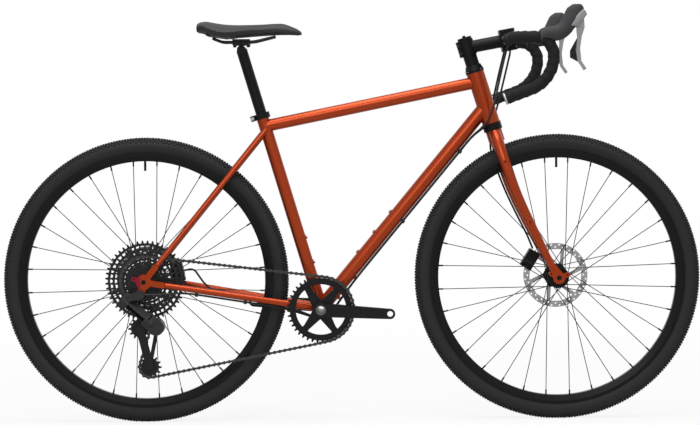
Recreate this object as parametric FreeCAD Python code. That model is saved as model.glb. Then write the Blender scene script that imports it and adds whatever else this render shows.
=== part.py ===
# Gravel bike: steel frame and fork, drop bar, disc brakes, one chainring and a wide cassette.
# Millimetres. +X is forward, +Y the rider's left, +Z up.
# The origin is on the ground, midway between the two axles.
import FreeCAD, Part
import math
import os

# Frame geometry
wheelbase = 1018.0
chainstay_length = 438.8
bottom_bracket_drop = 72.7
seat_angle = 73.4
head_angle = 72.75
fork_rake = 40.0
seat_tube_length = 504.0
top_tube_below_seat_tube_top = 33.0
top_tube_above_head_tube_bottom = 107.0
down_tube_above_head_tube_bottom = 44.0
head_tube_length = 131.5
axle_to_crown = 380.0
lower_cup_height = 19.0

# Frame tubes
tube_wall = 1.6
top_tube_radius = 15.0
down_tube_radius = 17.5
seat_tube_radius = 15.4
head_tube_radius = 22.0
head_tube_wall = 4.0
shell_width = 68.0
shell_radius = 21.0
shell_bore_radius = 17.0
chainstay_root_radius = 9.0
chainstay_tip_radius = 7.0
chainstay_root_spread = 25.0
chainstay_set_back = 46.0
chainstay_bridge_set_back = 50.0
seatstay_root_radius = 8.4
seatstay_tip_radius = 6.4
seatstay_root_spread = 11.0
seatstay_below_seat_tube_top = 42.0
seatstay_bridge_share = 0.17
bridge_radius = 6.0
stay_wall = 1.2
stay_cap_length = 30.0
seatstay_seam_angle = 90.0

# Rear dropouts
rear_axle_spacing = 142.0
dropout_thickness = 7.0
dropout_radius = 19.0
dropout_arm_width = 15.0
dropout_eyelet_reach = 25.0
dropout_eyelet_angle = 162.0
eyelet_radius = 6.0
eyelet_hole_radius = 2.1
hanger_bolt_back = 8.0
hanger_bolt_down = 30.0
hanger_radius = 10.0

# Fork
steerer_radius = 14.3
steerer_wall = 2.4
crown_race_radius = 20.0
crown_race_height = 8.0
crown_height = 30.0
blade_spread = 54.0
blade_top_radius = 14.2
blade_tip_radius = 8.6
blade_wall = 1.6
blade_height_shares = (0.98, 0.915, 0.79, 0.59, 0.37, 0.2, 0.05)
blade_spread_shares = (0.33, 0.66, 0.93, 1.0, 1.0, 1.0, 1.0)
blade_rake_shares = (0.0, 0.0, 0.0, 0.06, 0.325, 0.57, 0.83)
blade_taper_shares = (1.0, 1.0, 0.97, 0.78, 0.48, 0.24, 0.0)
front_axle_spacing = 100.0
fork_tip_thickness = 9.0
fork_tip_radius = 15.0
fork_eyelet_reach = 22.0
fork_eyelet_angles = (152.0, 20.0)
blade_boss_height_shares = (0.79, 0.37)
blade_boss_radius = 4.2
blade_boss_length = 2.2

# Headset, stem and cockpit
cup_radius = 23.4
upper_cup_height = 5.0
headset_cover_height = 13.0
headset_cover_top_radius = 19.0
spacer_radius = 17.0
spacer_height = 13.0
stem_clamp_height = 40.0
stem_clamp_radius = 19.5
stem_length = 100.0
stem_drop_angle = 7.0
stem_body_radius = 15.5
bar_clamp_radius = 15.9
stem_face_height = 54.0
stem_face_width = 44.0
stem_face_depth = 17.0
stem_split_gap = 1.2
stem_slot_width = 2.0
top_cap_height = 6.0
top_cap_radius = 17.5
bolt_radius = 2.5
bolt_head_radius = 4.2
bolt_head_height = 4.6

# Handlebar, tape and control levers
bar_radius = 11.9
bar_wall = 2.0
bar_half_width = 215.0
bar_clamp_half_width = 38.0
bar_corner_radius = 42.0
bar_reach = 95.0
bar_hook_top_radius = 45.0
bar_hook_radius = 85.0
bar_end_length = 62.0
bar_end_slope = 20.0
tape_thickness = 3.0
tape_start = 60.0
plug_length = 3.0
hood_width = 34.0
hood_height = 34.0
hood_forward = 98.0
hood_rise = 119.0
hood_place_shares = ((0.14, 0.32), (0.36, 0.43), (0.61, 0.47), (0.84, 0.66), (0.98, 0.83), (1.0, 0.94),
                     (1.0, 1.02))
hood_height_shares = (1.0, 1.06, 1.06, 1.18, 1.36, 1.12, 0.42)
hood_width_shares = (0.95, 1.0, 1.0, 0.95, 0.9, 0.78, 0.34)
lever_pivot_ahead = 57.0
lever_pivot_rise = 52.0
lever_pin_radius = 3.0
lever_eye_radius = 8.0
lever_slot_radius = 19.0
lever_side_gap = 0.4
lever_thickness = 9.0
lever_length = 138.0
lever_travel = 12.0
lever_travel_margin = 3.0
lever_travel_steps = 8
lever_depth = 24.0
lever_front_shares = ((0.58, -0.04), (0.67, 0.22), (0.38, 0.38), (0.21, 0.58), (0.33, 0.8), (0.83, 0.93))
lever_back_shares = ((0.58, 0.96), (0.0, 0.81), (-0.17, 0.62), (-0.04, 0.4), (-0.17, 0.18), (-0.25, 0.0))
paddle_thickness = 3.0
paddle_gap = 0.7
paddle_depth = 14.0
paddle_end_share = 0.12
paddle_pin_radius = 2.2
paddle_pin_share = 0.08

# Wheels
bead_seat_radius = 311.0
tyre_height = 41.0
tyre_width = 42.0
tyre_wall = 3.2
rim_width = 29.0
rim_flange_height = 5.5
rim_flange_thickness = 3.0
rim_depth = 22.0
rim_spoke_face_width = 14.0
rim_wall = 2.0
rim_chamber_inset_shares = (1.6, 0.6)
spoke_count = 32
spoke_crossings = 3
spoke_radius = 1.0
spoke_rim_offset = 2.5
spoke_flange_slack = 0.9
nipple_radius = 2.0
nipple_length = 13.0
nipple_head_radius = 3.0
nipple_head_height = 2.0
valve_radius = 3.0
valve_length = 42.0
valve_foot_height = 1.5
flange_radius = 27.0
flange_hole_circle = 23.0
flange_thickness = 3.2
hub_shell_radius = 15.0
hub_end_cap_radius = 10.0
freehub_core_radius = 9.0
freehub_radius = 17.0
freehub_inset = 2.5
front_flange_right = 33.0
front_flange_left = 21.0
rear_flange_right = 20.5
rear_flange_left = 34.0
axle_radius = 6.0
axle_head_radius = 9.0
axle_head_length = 6.0

# Brakes
rotor_radius = 80.0
rotor_track_width = 14.0
rotor_thickness = 1.8
rotor_hub_radius = 31.0
rotor_bore_radius = 18.0
rotor_arm_count = 6
rotor_arm_width = 9.0
rotor_hole_radius = 2.1
front_rotor_inset = 10.5
rear_rotor_inset = 15.3
rotor_sweep_angle = 14.0
rotor_hole_count = 24
rotor_hole_row_shares = (0.28, 0.72)
caliper_width = 30.0
caliper_length = 48.0
caliper_depth = 30.0
caliper_slot = 5.0
caliper_edge_gap = 1.6
front_caliper_angle = 148.0
rear_caliper_angle = 12.0
pad_gap = 0.4
pad_length_share = 0.5
hose_radius = 2.5
hose_gap = 0.8
hose_spacing = 16.0
guide_length = 8.0
guide_wall = 2.2
down_tube_guides = (521.0, 298.0)
right_chainstay_guides = (132.0, 252.0)
left_chainstay_guides = (296.0,)

# Bottle bosses, measured from the bottom bracket along each tube
upper_down_tube_bosses = (165.0, 229.0, 293.0)
lower_down_tube_bosses = (47.0, 111.0)
seat_tube_bosses = (115.0, 179.0)
boss_radius = 5.0
boss_height = 1.5

# Drivetrain
chain_pitch = 12.7
chain_inner_width = 2.3
chain_plate_thickness = 0.75
chain_plate_clearance = 0.05
chain_plate_height = 8.2
chain_waist_share = 0.62
roller_radius = 3.8
roller_bore_radius = 1.85
pin_radius = 1.7
chain_shift_pitches = 2
chainring_teeth = 40
cog_teeth = (11, 13, 15, 17, 20, 23, 26, 30, 36, 42, 48)
engaged_cog = 7
cog_pitch = 3.74
cog_thickness = 1.6
pulley_teeth = 13
chainline = 49.7
chainring_thickness = 1.6
smallest_cog_inset = 6.5
tooth_addendum = 2.6
pulley_tooth_addendum = 2.4
tooth_root_clearance = 0.35
tooth_tip_share = 0.11
tooth_root_share = 0.22
tooth_flank_share = 0.325
crank_length = 170.0
crank_rest_angle = -3.7
spindle_radius = 12.0
spindle_wall = 2.5
cup_flange_width = 11.0
crank_gap = 0.6
crank_hub_radius = 19.0
crank_outset = 72.0
crank_root_width = 34.0
crank_tip_width = 25.0
crank_thickness = 13.0
pedal_hole_radius = 7.14
bolt_circle_radius = 55.0
spider_angle = 54.0
spider_arm_width = 17.0
spider_arm_thickness = 5.0
spider_tip_radius = 8.0
chainring_inner_radius = 62.0
chainring_body_radius = 73.0
chainring_body_thickness = 3.6
chainring_bolt_radius = 4.5
chainring_bolt_head_radius = 6.2
chainring_bolt_head_height = 1.6
cog_window_count = 9
cog_web_width = 7.0
cog_rim_height = 6.0
cog_carrier_radius = 24.0
windowed_cog_teeth = 23
lockring_radius = 19.0
spacer_ring_radius = 19.5

# Rear derailleur, placed from the rear axle
guide_pulley_back = 14.0
guide_pulley_down = 116.0
cage_pivot_forward = 44.0
cage_pivot_up = 6.0
cage_length = 99.0
cage_plate_thickness = 1.6
cage_plate_width = 19.0
cage_rest_angle = -79.0
cage_search_angle = 20.0
cage_search_steps = 60
cage_shaft_radius = 6.0
cage_gap = 8.4
pulley_axle_radius = 3.0
pulley_thickness = 1.6
link_length = 62.0
link_thickness = 4.0
link_spacing = 15.0
link_width = 20.0
link_pin_radius = 2.5
link_pin_clearance = 0.08
link_side_gap = 0.5
link_eye_radius = 4.6
link_lug_thickness = 4.0
link_fall_angle = 42.0
link_sweep_angle = 45.0
mech_block_length = 13.0
mech_outset = 80.0
clutch_radius = 20.0
clutch_inner_outset = 47.0
clutch_outer_outset = 88.0
clutch_reach = 30.0
mech_arm_width = 13.0
mech_arm_thickness = 8.0
mech_boss_radius = 11.0
mech_boss_width = 14.0
link_swing_range = (-40.0, 18.0)
link_swing_steps = 10

# Seat
seatpost_radius = 13.6
seatpost_wall = 2.2
seatpost_insertion = 150.0
seatpost_rise = 164.0
seatpost_head_radius = 11.0
seatpost_head_width = 34.0
collar_height = 14.0
collar_wall = 4.5
collar_ear_length = 9.0
collar_ear_width = 16.0
saddle_length = 265.0
saddle_width = 145.0
saddle_depth = 28.0
saddle_set_back = 112.0
saddle_station_shares = (0.0, 0.1, 0.26, 0.46, 0.64, 0.84, 0.96, 1.0)
saddle_width_shares = (0.62, 0.9, 1.0, 0.68, 0.38, 0.28, 0.22, 0.1)
saddle_top_shares = (1.27, 1.35, 1.08, 1.01, 1.05, 1.08, 0.72, 0.4)
saddle_edge_shares = (0.85, 0.75, 0.3, 0.5, 0.62, 0.64, 0.42, 0.28)
saddle_foot_shares = (0.36, 0.22, -0.14, 0.02, 0.18, 0.24, 0.14, 0.16)
saddle_seat_shares = (0.4, 0.26, 0.1, 0.14, 0.24, 0.3, 0.24, 0.24)
saddle_drawn_in_share = 0.86
saddle_shell_thickness = 4.0
saddle_shell_share = 0.8
saddle_channel_share = 0.83
rail_radius = 3.5
rail_spread = 22.0
rail_nose_spread = 11.0
rail_tail_spread = 30.0
rail_drop = 13.0
rail_end_shares = (0.16, 0.74)
rail_bend_shares = (0.25, 0.54)
rail_tuck_shares = (0.15, 0.28)
cradle_length = 42.0
cradle_height = 8.0
cradle_side = 8.0
clamp_plate_height = 7.0
clamp_split_gap = 1.0

# Brake hose and shift housing routes
# Routes beside the fork: height up the steering axis, distance ahead of it, and distance to the left
front_hose_route = ((568.8, 104.4, 59.6), (567.8, 105.2, 45), (552, 101, 32), (510, 76, 33), (440, 34, 36),
                    (388, 0, 38), (338, -20, 47), (290, -19, 53), (226, -15, 54.5), (160, -5.5, 54.5),
                    (100, 4.5, 53.5))
loop_route = ((569, 93.5, 59.6), (568.2, 93, 45), (553, 84, 35), (500, 52, 38), (440, 18, 42), (398, -14, 38))
under_tube_start = 566.0
shell_route_angles = (-55.0, -125.0)
shell_route_radius = 29.0
rear_hose_stay_route = (345.0, 260.0)
housing_stay_route = (345.0, 100.0)
stay_crossings = ((205.0, 41.0, 1.0), (150.0, 43.0, 0.0))
hose_lead_in = 26.0
caliper_entry_y = 50.0
housing_lead_in = 28.0
route_turn_share = 0.45

# Fits
running_clearance = 0.05
seat_clearance = 0.3
cut_overrun = 5.0

vector = FreeCAD.Vector
forward = vector(1, 0, 0)
left = vector(0, 1, 0)
up = vector(0, 0, 1)
right_side = -1
left_side = 1

os.makedirs("parts", exist_ok=True)


# Small helpers for placing and joining shapes

def direction(angle):
    """Unit vector in the bike's side plane, measured from straight ahead, upwards."""
    turn = math.radians(angle)
    return vector(math.cos(turn), 0, math.sin(turn))


def shifted(point, y):
    """The same place in side view, at another distance from the middle plane."""
    return vector(point.x, y, point.z)


def between(start, end, share):
    return start + (end - start) * share


def rod(start, end, radius):
    run = end - start
    return Part.makeCylinder(radius, run.Length, start, run)


def taper(start, end, start_radius, end_radius):
    if start_radius == end_radius:
        return rod(start, end, start_radius)
    run = end - start
    return Part.makeCone(start_radius, end_radius, run.Length, start, run)


def ring(start, end, outer_radius, inner_radius):
    along = (end - start).normalize()
    bore = rod(start - along * cut_overrun, end + along * cut_overrun, inner_radius)
    return rod(start, end, outer_radius).cut(bore)


def across(centre, y_from, y_to, radius):
    """Round bar across the bike."""
    return rod(shifted(centre, y_from), shifted(centre, y_to), radius)


def polygon(points):
    return Part.makePolygon(list(points) + [points[0]])


def slab(points, y_from, y_to):
    """Side-view outline given as points, as thick as the two distances from the middle plane."""
    face = Part.Face(polygon([shifted(point, y_from) for point in points]))
    return face.extrude(left * (y_to - y_from))


def strip(start, end, start_width, end_width, y_from, y_to):
    """Flat bar in side view with rounded ends."""
    along = (end - start).normalize()
    side = vector(-along.z, 0, along.x)
    corners = [start + side * (start_width / 2), end + side * (end_width / 2)]
    corners += [end - side * (end_width / 2), start - side * (start_width / 2)]
    bar = slab(corners, y_from, y_to)
    bar = bar.fuse(across(start, y_from, y_to, start_width / 2))
    return bar.fuse(across(end, y_from, y_to, end_width / 2)).removeSplitter()


def turned(profile, centre):
    """Closed outline of distances across the bike and radii, turned round an axle."""
    points = [vector(centre.x, y, centre.z + radius) for y, radius in profile]
    return Part.Face(polygon(points)).revolve(centre, left, 360)


def joined(shapes):
    whole = shapes[0]
    if len(shapes) > 1:
        whole = whole.multiFuse(shapes[1:])
    return whole.removeSplitter()


def cut_by(shape, tools):
    for tool in tools:
        shape = shape.cut(tool)
    return shape


def mirrored(shape):
    """Copy on the other side of the middle plane."""
    return shape.mirror(vector(0, 0, 0), left)


def save(name, shapes):
    whole = shapes[0] if len(shapes) == 1 else Part.makeCompound(shapes)
    whole.exportStep("parts/" + name + ".step")


def swept(edges, radius):
    """Round tube or bar along a path of lines and tangent arcs."""
    path = Part.Wire(edges)
    first = edges[0]
    start = first.valueAt(first.FirstParameter)
    heading = first.tangentAt(first.FirstParameter)
    section = Part.Wire(Part.Circle(start, heading, radius).toShape())
    return path.makePipeShell([section], True, False)


def route(points, share=route_turn_share):
    """Straight runs joined by tangent arcs, each as large as its two runs allow."""
    edges = []
    last = points[0]
    for before, corner, after in zip(points, points[1:], points[2:]):
        run_in = (corner - before).normalize()
        run_out = (after - corner).normalize()
        shorter = min((corner - before).Length, (after - corner).Length)
        half_turn = run_in.getAngle(run_out) / 2
        setback = shorter * share
        radius = setback / math.tan(half_turn)
        inward = (run_out - run_in).normalize()
        arc_start = corner - run_in * setback
        arc_end = corner + run_out * setback
        middle = corner + inward * (radius / math.cos(half_turn) - radius)
        edges.append(Part.LineSegment(last, arc_start).toShape())
        edges.append(Part.Arc(arc_start, middle, arc_end).toShape())
        last = arc_end
    edges.append(Part.LineSegment(last, points[-1]).toShape())
    return edges


# Main points of the bike

wheel_radius = bead_seat_radius + tyre_height
rear_axle_centre = vector(-wheelbase / 2, 0, wheel_radius)
front_axle_centre = vector(wheelbase / 2, 0, wheel_radius)
shell_forward = math.sqrt(chainstay_length ** 2 - bottom_bracket_drop ** 2)
shell_centre = rear_axle_centre + vector(shell_forward, 0, -bottom_bracket_drop)
seat_axis = direction(180 - seat_angle)
steer_axis = direction(180 - head_angle)
steer_foot = front_axle_centre - forward * (fork_rake / math.sin(math.radians(head_angle)))
crown_top = steer_foot + steer_axis * axle_to_crown
head_bottom = crown_top + steer_axis * lower_cup_height
head_top = head_bottom + steer_axis * head_tube_length
seat_top = shell_centre + seat_axis * seat_tube_length
top_tube_rear = seat_top - seat_axis * top_tube_below_seat_tube_top
top_tube_front = head_bottom + steer_axis * top_tube_above_head_tube_bottom
down_tube_top = head_bottom + steer_axis * down_tube_above_head_tube_bottom
dropout_middle = rear_axle_spacing / 2 + dropout_thickness / 2
seat_bore_radius = seatpost_radius + running_clearance
head_bore_radius = head_tube_radius - head_tube_wall
cup_face = shell_width / 2 + cup_flange_width


# Main tubes, mitred where they meet

shell_core = across(shell_centre, -shell_width / 2, shell_width / 2, shell_radius)
shell_bore = across(shell_centre, -shell_width / 2 - cut_overrun, shell_width / 2 + cut_overrun,
                    shell_bore_radius)
shell = shell_core.cut(shell_bore)

head_core = rod(head_bottom, head_top, head_tube_radius)
head_tube = ring(head_bottom, head_top, head_tube_radius, head_bore_radius)

down_core = rod(shell_centre, down_tube_top, down_tube_radius)
down_tube = down_core.cut(rod(shell_centre, down_tube_top, down_tube_radius - tube_wall))
down_tube = cut_by(down_tube, [shell_core, head_core])

seat_core = rod(shell_centre, seat_top, seat_tube_radius)
seat_tube = seat_core.cut(rod(shell_centre, seat_top + seat_axis * cut_overrun, seat_bore_radius))
seat_tube = cut_by(seat_tube, [shell_core, down_core])

top_core = rod(top_tube_rear, top_tube_front, top_tube_radius)
top_tube = top_core.cut(rod(top_tube_rear, top_tube_front, top_tube_radius - tube_wall))
top_tube = cut_by(top_tube, [seat_core, head_core, down_core])


# Rear dropouts: plates for the axle, with a mudguard eyelet and, on the right, the derailleur hanger

chainstay_heading = (shell_centre - rear_axle_centre).normalize()
seatstay_root = seat_top - seat_axis * seatstay_below_seat_tube_top
seatstay_heading = (seatstay_root - rear_axle_centre).normalize()
chainstay_tip = rear_axle_centre + chainstay_heading * chainstay_set_back
seatstay_tip = rear_axle_centre + seatstay_heading * chainstay_set_back
rear_eyelet = rear_axle_centre + direction(dropout_eyelet_angle) * dropout_eyelet_reach
hanger_bolt = rear_axle_centre - forward * hanger_bolt_back - up * hanger_bolt_down


def dropout(side):
    inner = side * rear_axle_spacing / 2
    outer = inner + side * dropout_thickness
    pieces = [across(rear_axle_centre, inner, outer, dropout_radius)]
    for tip in (chainstay_tip, seatstay_tip):
        pieces.append(strip(rear_axle_centre, tip, dropout_arm_width, dropout_arm_width, inner, outer))
    pieces.append(strip(rear_axle_centre, rear_eyelet, eyelet_radius * 2, eyelet_radius * 2, inner, outer))
    holes = [across(rear_axle_centre, inner - side * cut_overrun, outer + side * cut_overrun,
                    axle_radius + running_clearance)]
    holes.append(across(rear_eyelet, inner - side * cut_overrun, outer + side * cut_overrun,
                        eyelet_hole_radius))
    if side == right_side:
        pieces.append(strip(rear_axle_centre, hanger_bolt, hanger_radius * 2, hanger_radius * 2, inner,
                            outer))
        holes.append(across(hanger_bolt, inner - side * cut_overrun, outer + side * cut_overrun,
                            bolt_radius * 2 + running_clearance))
    return cut_by(joined(pieces), holes)


dropouts = [dropout(right_side), dropout(left_side)]


# Stays: tapered tubes slotted over the dropouts, with a bridge across each pair

def stay(root, tip, root_radius, tip_radius, seam_angle):
    """Solid core and tube, the cone's seam turned by an angle to keep it clear of the slot and the mitre."""
    outside = taper(root, tip, root_radius, tip_radius)
    outside.rotate(root, tip - root, seam_angle)
    cap = stay_cap_length / (tip - root).Length
    ends = [between(root, tip, share) for share in (cap, 1 - cap)]
    radii = [between(root_radius, tip_radius, share) - stay_wall for share in (cap, 1 - cap)]
    return outside, outside.cut(taper(ends[0], ends[1], radii[0], radii[1]))


def dropout_slot(heading, side):
    """Room for a dropout's arm on the outer side of a stay's end."""
    inner = side * rear_axle_spacing / 2
    reach = chainstay_set_back + dropout_arm_width / 2 + seat_clearance
    crosswise = vector(-heading.z, 0, heading.x) * dropout_arm_width
    corners = [rear_axle_centre + crosswise, rear_axle_centre - crosswise]
    corners += [point + heading * reach for point in reversed(corners)]
    return slab(corners, inner, inner + side * (dropout_thickness + dropout_arm_width))


cup_core = across(shell_centre, -cup_face, cup_face, shell_radius)
chainstays = []
seatstays = []
chainstay_cores = []
seatstay_cores = []
for side in (right_side, left_side):
    tip_y = side * dropout_middle
    root = shifted(shell_centre, side * chainstay_root_spread)
    tip = shifted(rear_axle_centre + chainstay_heading * (chainstay_set_back - dropout_arm_width / 2), tip_y)
    core, tube = stay(root, tip, chainstay_root_radius, chainstay_tip_radius, 0)
    chainstay_cores.append(core)
    chainstays.append(cut_by(tube, [cup_core, seat_core, down_core, dropout_slot(chainstay_heading, side)]))
    root = shifted(seatstay_root, side * seatstay_root_spread)
    tip = shifted(rear_axle_centre + seatstay_heading * (chainstay_set_back - dropout_arm_width / 2), tip_y)
    core, tube = stay(root, tip, seatstay_root_radius, seatstay_tip_radius, side * seatstay_seam_angle)
    seatstay_cores.append(core)
    seatstays.append(cut_by(tube, [seat_core, top_core, dropout_slot(seatstay_heading, side)]))

bridge_place = shell_centre - chainstay_heading * chainstay_bridge_set_back
chainstays.append(cut_by(across(bridge_place, -dropout_middle, dropout_middle, bridge_radius),
                         chainstay_cores))
chainstays[-1] = min(chainstays[-1].Solids, key=lambda solid: abs(solid.CenterOfMass.y))
bridge_place = between(seatstay_root, rear_axle_centre, seatstay_bridge_share)
seatstays.append(cut_by(across(bridge_place, -dropout_middle, dropout_middle, bridge_radius), seatstay_cores))
seatstays[-1] = min(seatstays[-1].Solids, key=lambda solid: abs(solid.CenterOfMass.y))

save("head_tube", [head_tube])
save("top_tube", [top_tube])
save("bottom_bracket_shell", [shell])
save("dropouts", dropouts)
save("chainstays", chainstays)
save("seatstays", seatstays)


# Fork: steerer, crown, two raked blades and their tips, brazed into one piece

steer_forward = direction(90 - head_angle)


def fork_point(height, ahead, y):
    return shifted(steer_foot + steer_axis * height + steer_forward * ahead, y)


def blade_radius(taper_share):
    return blade_tip_radius + (blade_top_radius - blade_tip_radius) * taper_share


def fork_blade(side):
    centres = []
    shares = zip(blade_height_shares, blade_rake_shares, blade_spread_shares)
    for height_share, rake_share, spread_share in shares:
        centres.append(fork_point(axle_to_crown * height_share, fork_rake * rake_share,
                                  side * blade_spread * spread_share))
    outside = []
    inside = []
    for index, centre in enumerate(centres):
        before = centres[max(index - 1, 0)]
        after = centres[min(index + 1, len(centres) - 1)]
        radius = blade_radius(blade_taper_shares[index])
        outside.append(Part.Wire(Part.Circle(centre, after - before, radius).toShape()))
        inside.append(Part.Wire(Part.Circle(centre, after - before, radius - blade_wall).toShape()))
    blade = Part.makeLoft(outside, True, False)
    return blade.cut(Part.makeLoft(inside, True, False)), centres[-1]


def fork_tip(side, blade_end):
    inner = side * front_axle_spacing / 2
    outer = inner + side * fork_tip_thickness
    pieces = [across(front_axle_centre, inner, outer, fork_tip_radius)]
    pieces.append(strip(shifted(blade_end, 0), front_axle_centre, blade_tip_radius * 2, fork_tip_radius * 2,
                        inner, outer))
    holes = [across(front_axle_centre, inner - side * cut_overrun, outer + side * cut_overrun,
                    axle_radius + running_clearance)]
    for angle in fork_eyelet_angles:
        eyelet = front_axle_centre + direction(angle) * fork_eyelet_reach
        pieces.append(strip(front_axle_centre, eyelet, eyelet_radius * 2, eyelet_radius * 2, inner, outer))
        holes.append(across(eyelet, inner - side * cut_overrun, outer + side * cut_overrun,
                            eyelet_hole_radius))
    return joined(pieces), holes


def blade_boss(side, height_share):
    index = blade_height_shares.index(height_share)
    reach = blade_spread * blade_spread_shares[index] + blade_radius(blade_taper_shares[index])
    centre = fork_point(axle_to_crown * height_share, fork_rake * blade_rake_shares[index], 0)
    boss = across(centre, side * blade_spread, side * (reach + blade_boss_length), blade_boss_radius)
    hole = across(centre, side * (blade_spread - cut_overrun),
                  side * (reach + blade_boss_length + cut_overrun),
                  eyelet_hole_radius)
    return boss, hole


stem_clamp_base = upper_cup_height + seat_clearance + headset_cover_height + spacer_height * 2
steerer_top = head_top + steer_axis * (stem_clamp_base + stem_clamp_height)
steerer_bottom = crown_top - steer_axis * crown_height
fork_pieces = [rod(steerer_bottom, steerer_top, steerer_radius)]
fork_pieces.append(rod(steerer_bottom, crown_top, crown_race_radius))
fork_pieces.append(rod(crown_top, crown_top + steer_axis * crown_race_height,
                       crown_race_radius - seat_clearance))
fork_holes = [rod(steerer_bottom - steer_axis * cut_overrun, steerer_top + steer_axis * cut_overrun,
                  steerer_radius - steerer_wall)]
for side in (right_side, left_side):
    blade, blade_end = fork_blade(side)
    tip, tip_holes = fork_tip(side, blade_end)
    fork_pieces += [blade, tip]
    fork_holes += tip_holes
    for height_share in blade_boss_height_shares:
        boss, boss_hole = blade_boss(side, height_share)
        fork_pieces.append(boss)
        fork_holes.append(boss_hole)
fork = cut_by(joined(fork_pieces), fork_holes)
save("fork", [fork])


# Bearing cups: headset cups in the head tube and bottom bracket cups in the shell

def headset_cup(face, outward, height, race_radius, race_height):
    sleeve = ring(face - outward * height, face, head_bore_radius - running_clearance, steerer_radius)
    cup = ring(face, face + outward * height, cup_radius, steerer_radius)
    bore = rod(face - outward * (height + cut_overrun), face + outward * (height + cut_overrun),
               steerer_radius + running_clearance)
    cup = sleeve.fuse(cup).cut(bore)
    if race_height:
        rim_face = face + outward * height
        cup = cup.cut(rod(rim_face + outward * cut_overrun, rim_face - outward * race_height, race_radius))
    return cup.removeSplitter()


def bracket_cup(side):
    face = side * shell_width / 2
    sleeve = across(shell_centre, face - side * cup_flange_width, face, shell_bore_radius - running_clearance)
    flange = across(shell_centre, face, face + side * cup_flange_width, shell_radius)
    bore = across(shell_centre, 0, side * shell_width, spindle_radius + running_clearance)
    return sleeve.fuse(flange).cut(bore).removeSplitter()


lower_cup = headset_cup(head_bottom, steer_axis * -1, lower_cup_height - seat_clearance, crown_race_radius,
                        crown_race_height + seat_clearance)
upper_cup = headset_cup(head_top, steer_axis, upper_cup_height, 0, 0)
save("bearing_cups", [lower_cup, upper_cup, bracket_cup(right_side), bracket_cup(left_side)])


# Headset cover, spacers and top cap on the steerer

steerer_fit = steerer_radius + running_clearance
cover_base = head_top + steer_axis * (upper_cup_height + seat_clearance)
cover_top = cover_base + steer_axis * headset_cover_height
cover = taper(cover_base, cover_top, cup_radius, headset_cover_top_radius)
headset_top = [cover.cut(rod(cover_base, cover_top, steerer_fit))]
for index in range(2):
    start = cover_top + steer_axis * (spacer_height * index)
    headset_top.append(ring(start, start + steer_axis * spacer_height, spacer_radius, steerer_fit))
top_cap = rod(steerer_top, steerer_top + steer_axis * top_cap_height, top_cap_radius)
top_cap = top_cap.cut(rod(steerer_top, steerer_top + steer_axis * cut_overrun * 2,
                          bolt_radius + running_clearance))
headset_top.append(top_cap)
save("headset_spacers", headset_top)


# Stem with its faceplate and bolts

clamp_bottom = head_top + steer_axis * stem_clamp_base
clamp_middle = clamp_bottom + steer_axis * (stem_clamp_height / 2)
stem_heading = direction(90 - head_angle - stem_drop_angle)
stem_up = direction(180 - head_angle - stem_drop_angle)
bar_centre = clamp_middle + stem_heading * stem_length


def stem_block(near, far, height, width):
    """Box across the stem's front end, from one distance ahead of the bar's centre to another."""
    corners = [bar_centre + stem_heading * near + stem_up * (height / 2)]
    corners.append(bar_centre + stem_heading * far + stem_up * (height / 2))
    corners.append(bar_centre + stem_heading * far - stem_up * (height / 2))
    corners.append(bar_centre + stem_heading * near - stem_up * (height / 2))
    return slab(corners, -width / 2, width / 2)


bar_bore = across(bar_centre, -stem_face_width, stem_face_width, bar_clamp_radius + running_clearance)
bolt_y = stem_face_width / 2 - bolt_head_radius - bolt_radius
bolt_rise = stem_face_height / 2 - bolt_head_radius
face_bolts = []
for bolt_side in (right_side, left_side):
    for rise in (bolt_rise, -bolt_rise):
        place = shifted(bar_centre + stem_up * rise, bolt_side * bolt_y)
        head_start = place + stem_heading * stem_face_depth
        bolt = rod(head_start, head_start + stem_heading * bolt_head_height, bolt_head_radius)
        face_bolts.append((bolt.fuse(rod(place - stem_heading * (stem_face_depth / 2), head_start,
                                         bolt_radius)),
                           rod(place - stem_heading * (stem_face_depth / 2),
                               head_start + stem_heading * cut_overrun,
                               bolt_radius + running_clearance)))
bolt_holes = [hole for bolt, hole in face_bolts]
faceplate = stem_block(stem_split_gap / 2, stem_face_depth, stem_face_height, stem_face_width)
faceplate = cut_by(faceplate, [bar_bore] + bolt_holes)
save("stem_faceplate", [faceplate])

stem = rod(clamp_bottom, clamp_bottom + steer_axis * stem_clamp_height, stem_clamp_radius)
stem = stem.fuse(rod(clamp_middle, bar_centre - stem_heading * (stem_face_depth / 2), stem_body_radius))
stem = stem.fuse(stem_block(-stem_face_depth, -stem_split_gap / 2, stem_face_height, stem_face_width))
clamp_ear_back = stem_clamp_radius + bolt_head_radius
ear_bottom = clamp_bottom
ear_corners = [ear_bottom, ear_bottom - steer_forward * clamp_ear_back]
ear_corners += [point + steer_axis * stem_clamp_height for point in reversed(ear_corners)]
stem = stem.fuse(slab(ear_corners, -stem_clamp_radius / 2, stem_clamp_radius / 2))
stem = stem.cut(rod(clamp_bottom - steer_axis * cut_overrun, steerer_top + steer_axis * cut_overrun,
                    steerer_fit))
slot_corners = [point - steer_forward * cut_overrun for point in ear_corners]
stem = stem.cut(slab(slot_corners, -stem_slot_width / 2, stem_slot_width / 2))
clamp_bolts = []
for height in (stem_clamp_height / 4, stem_clamp_height * 3 / 4):
    behind = steerer_radius + bolt_radius + bolt_head_radius / 2
    place = clamp_bottom + steer_axis * height - steer_forward * behind
    shank = across(place, -stem_clamp_radius / 2, stem_clamp_radius / 2, bolt_radius)
    head = across(place, -stem_clamp_radius / 2 - bolt_head_height, -stem_clamp_radius / 2, bolt_head_radius)
    clamp_bolts.append(shank.fuse(head))
    stem = stem.cut(across(place, -stem_clamp_radius, stem_clamp_radius, bolt_radius + running_clearance))
    stem = stem.cut(across(place, -stem_clamp_radius, -stem_clamp_radius / 2,
                           bolt_head_radius + running_clearance))
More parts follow.
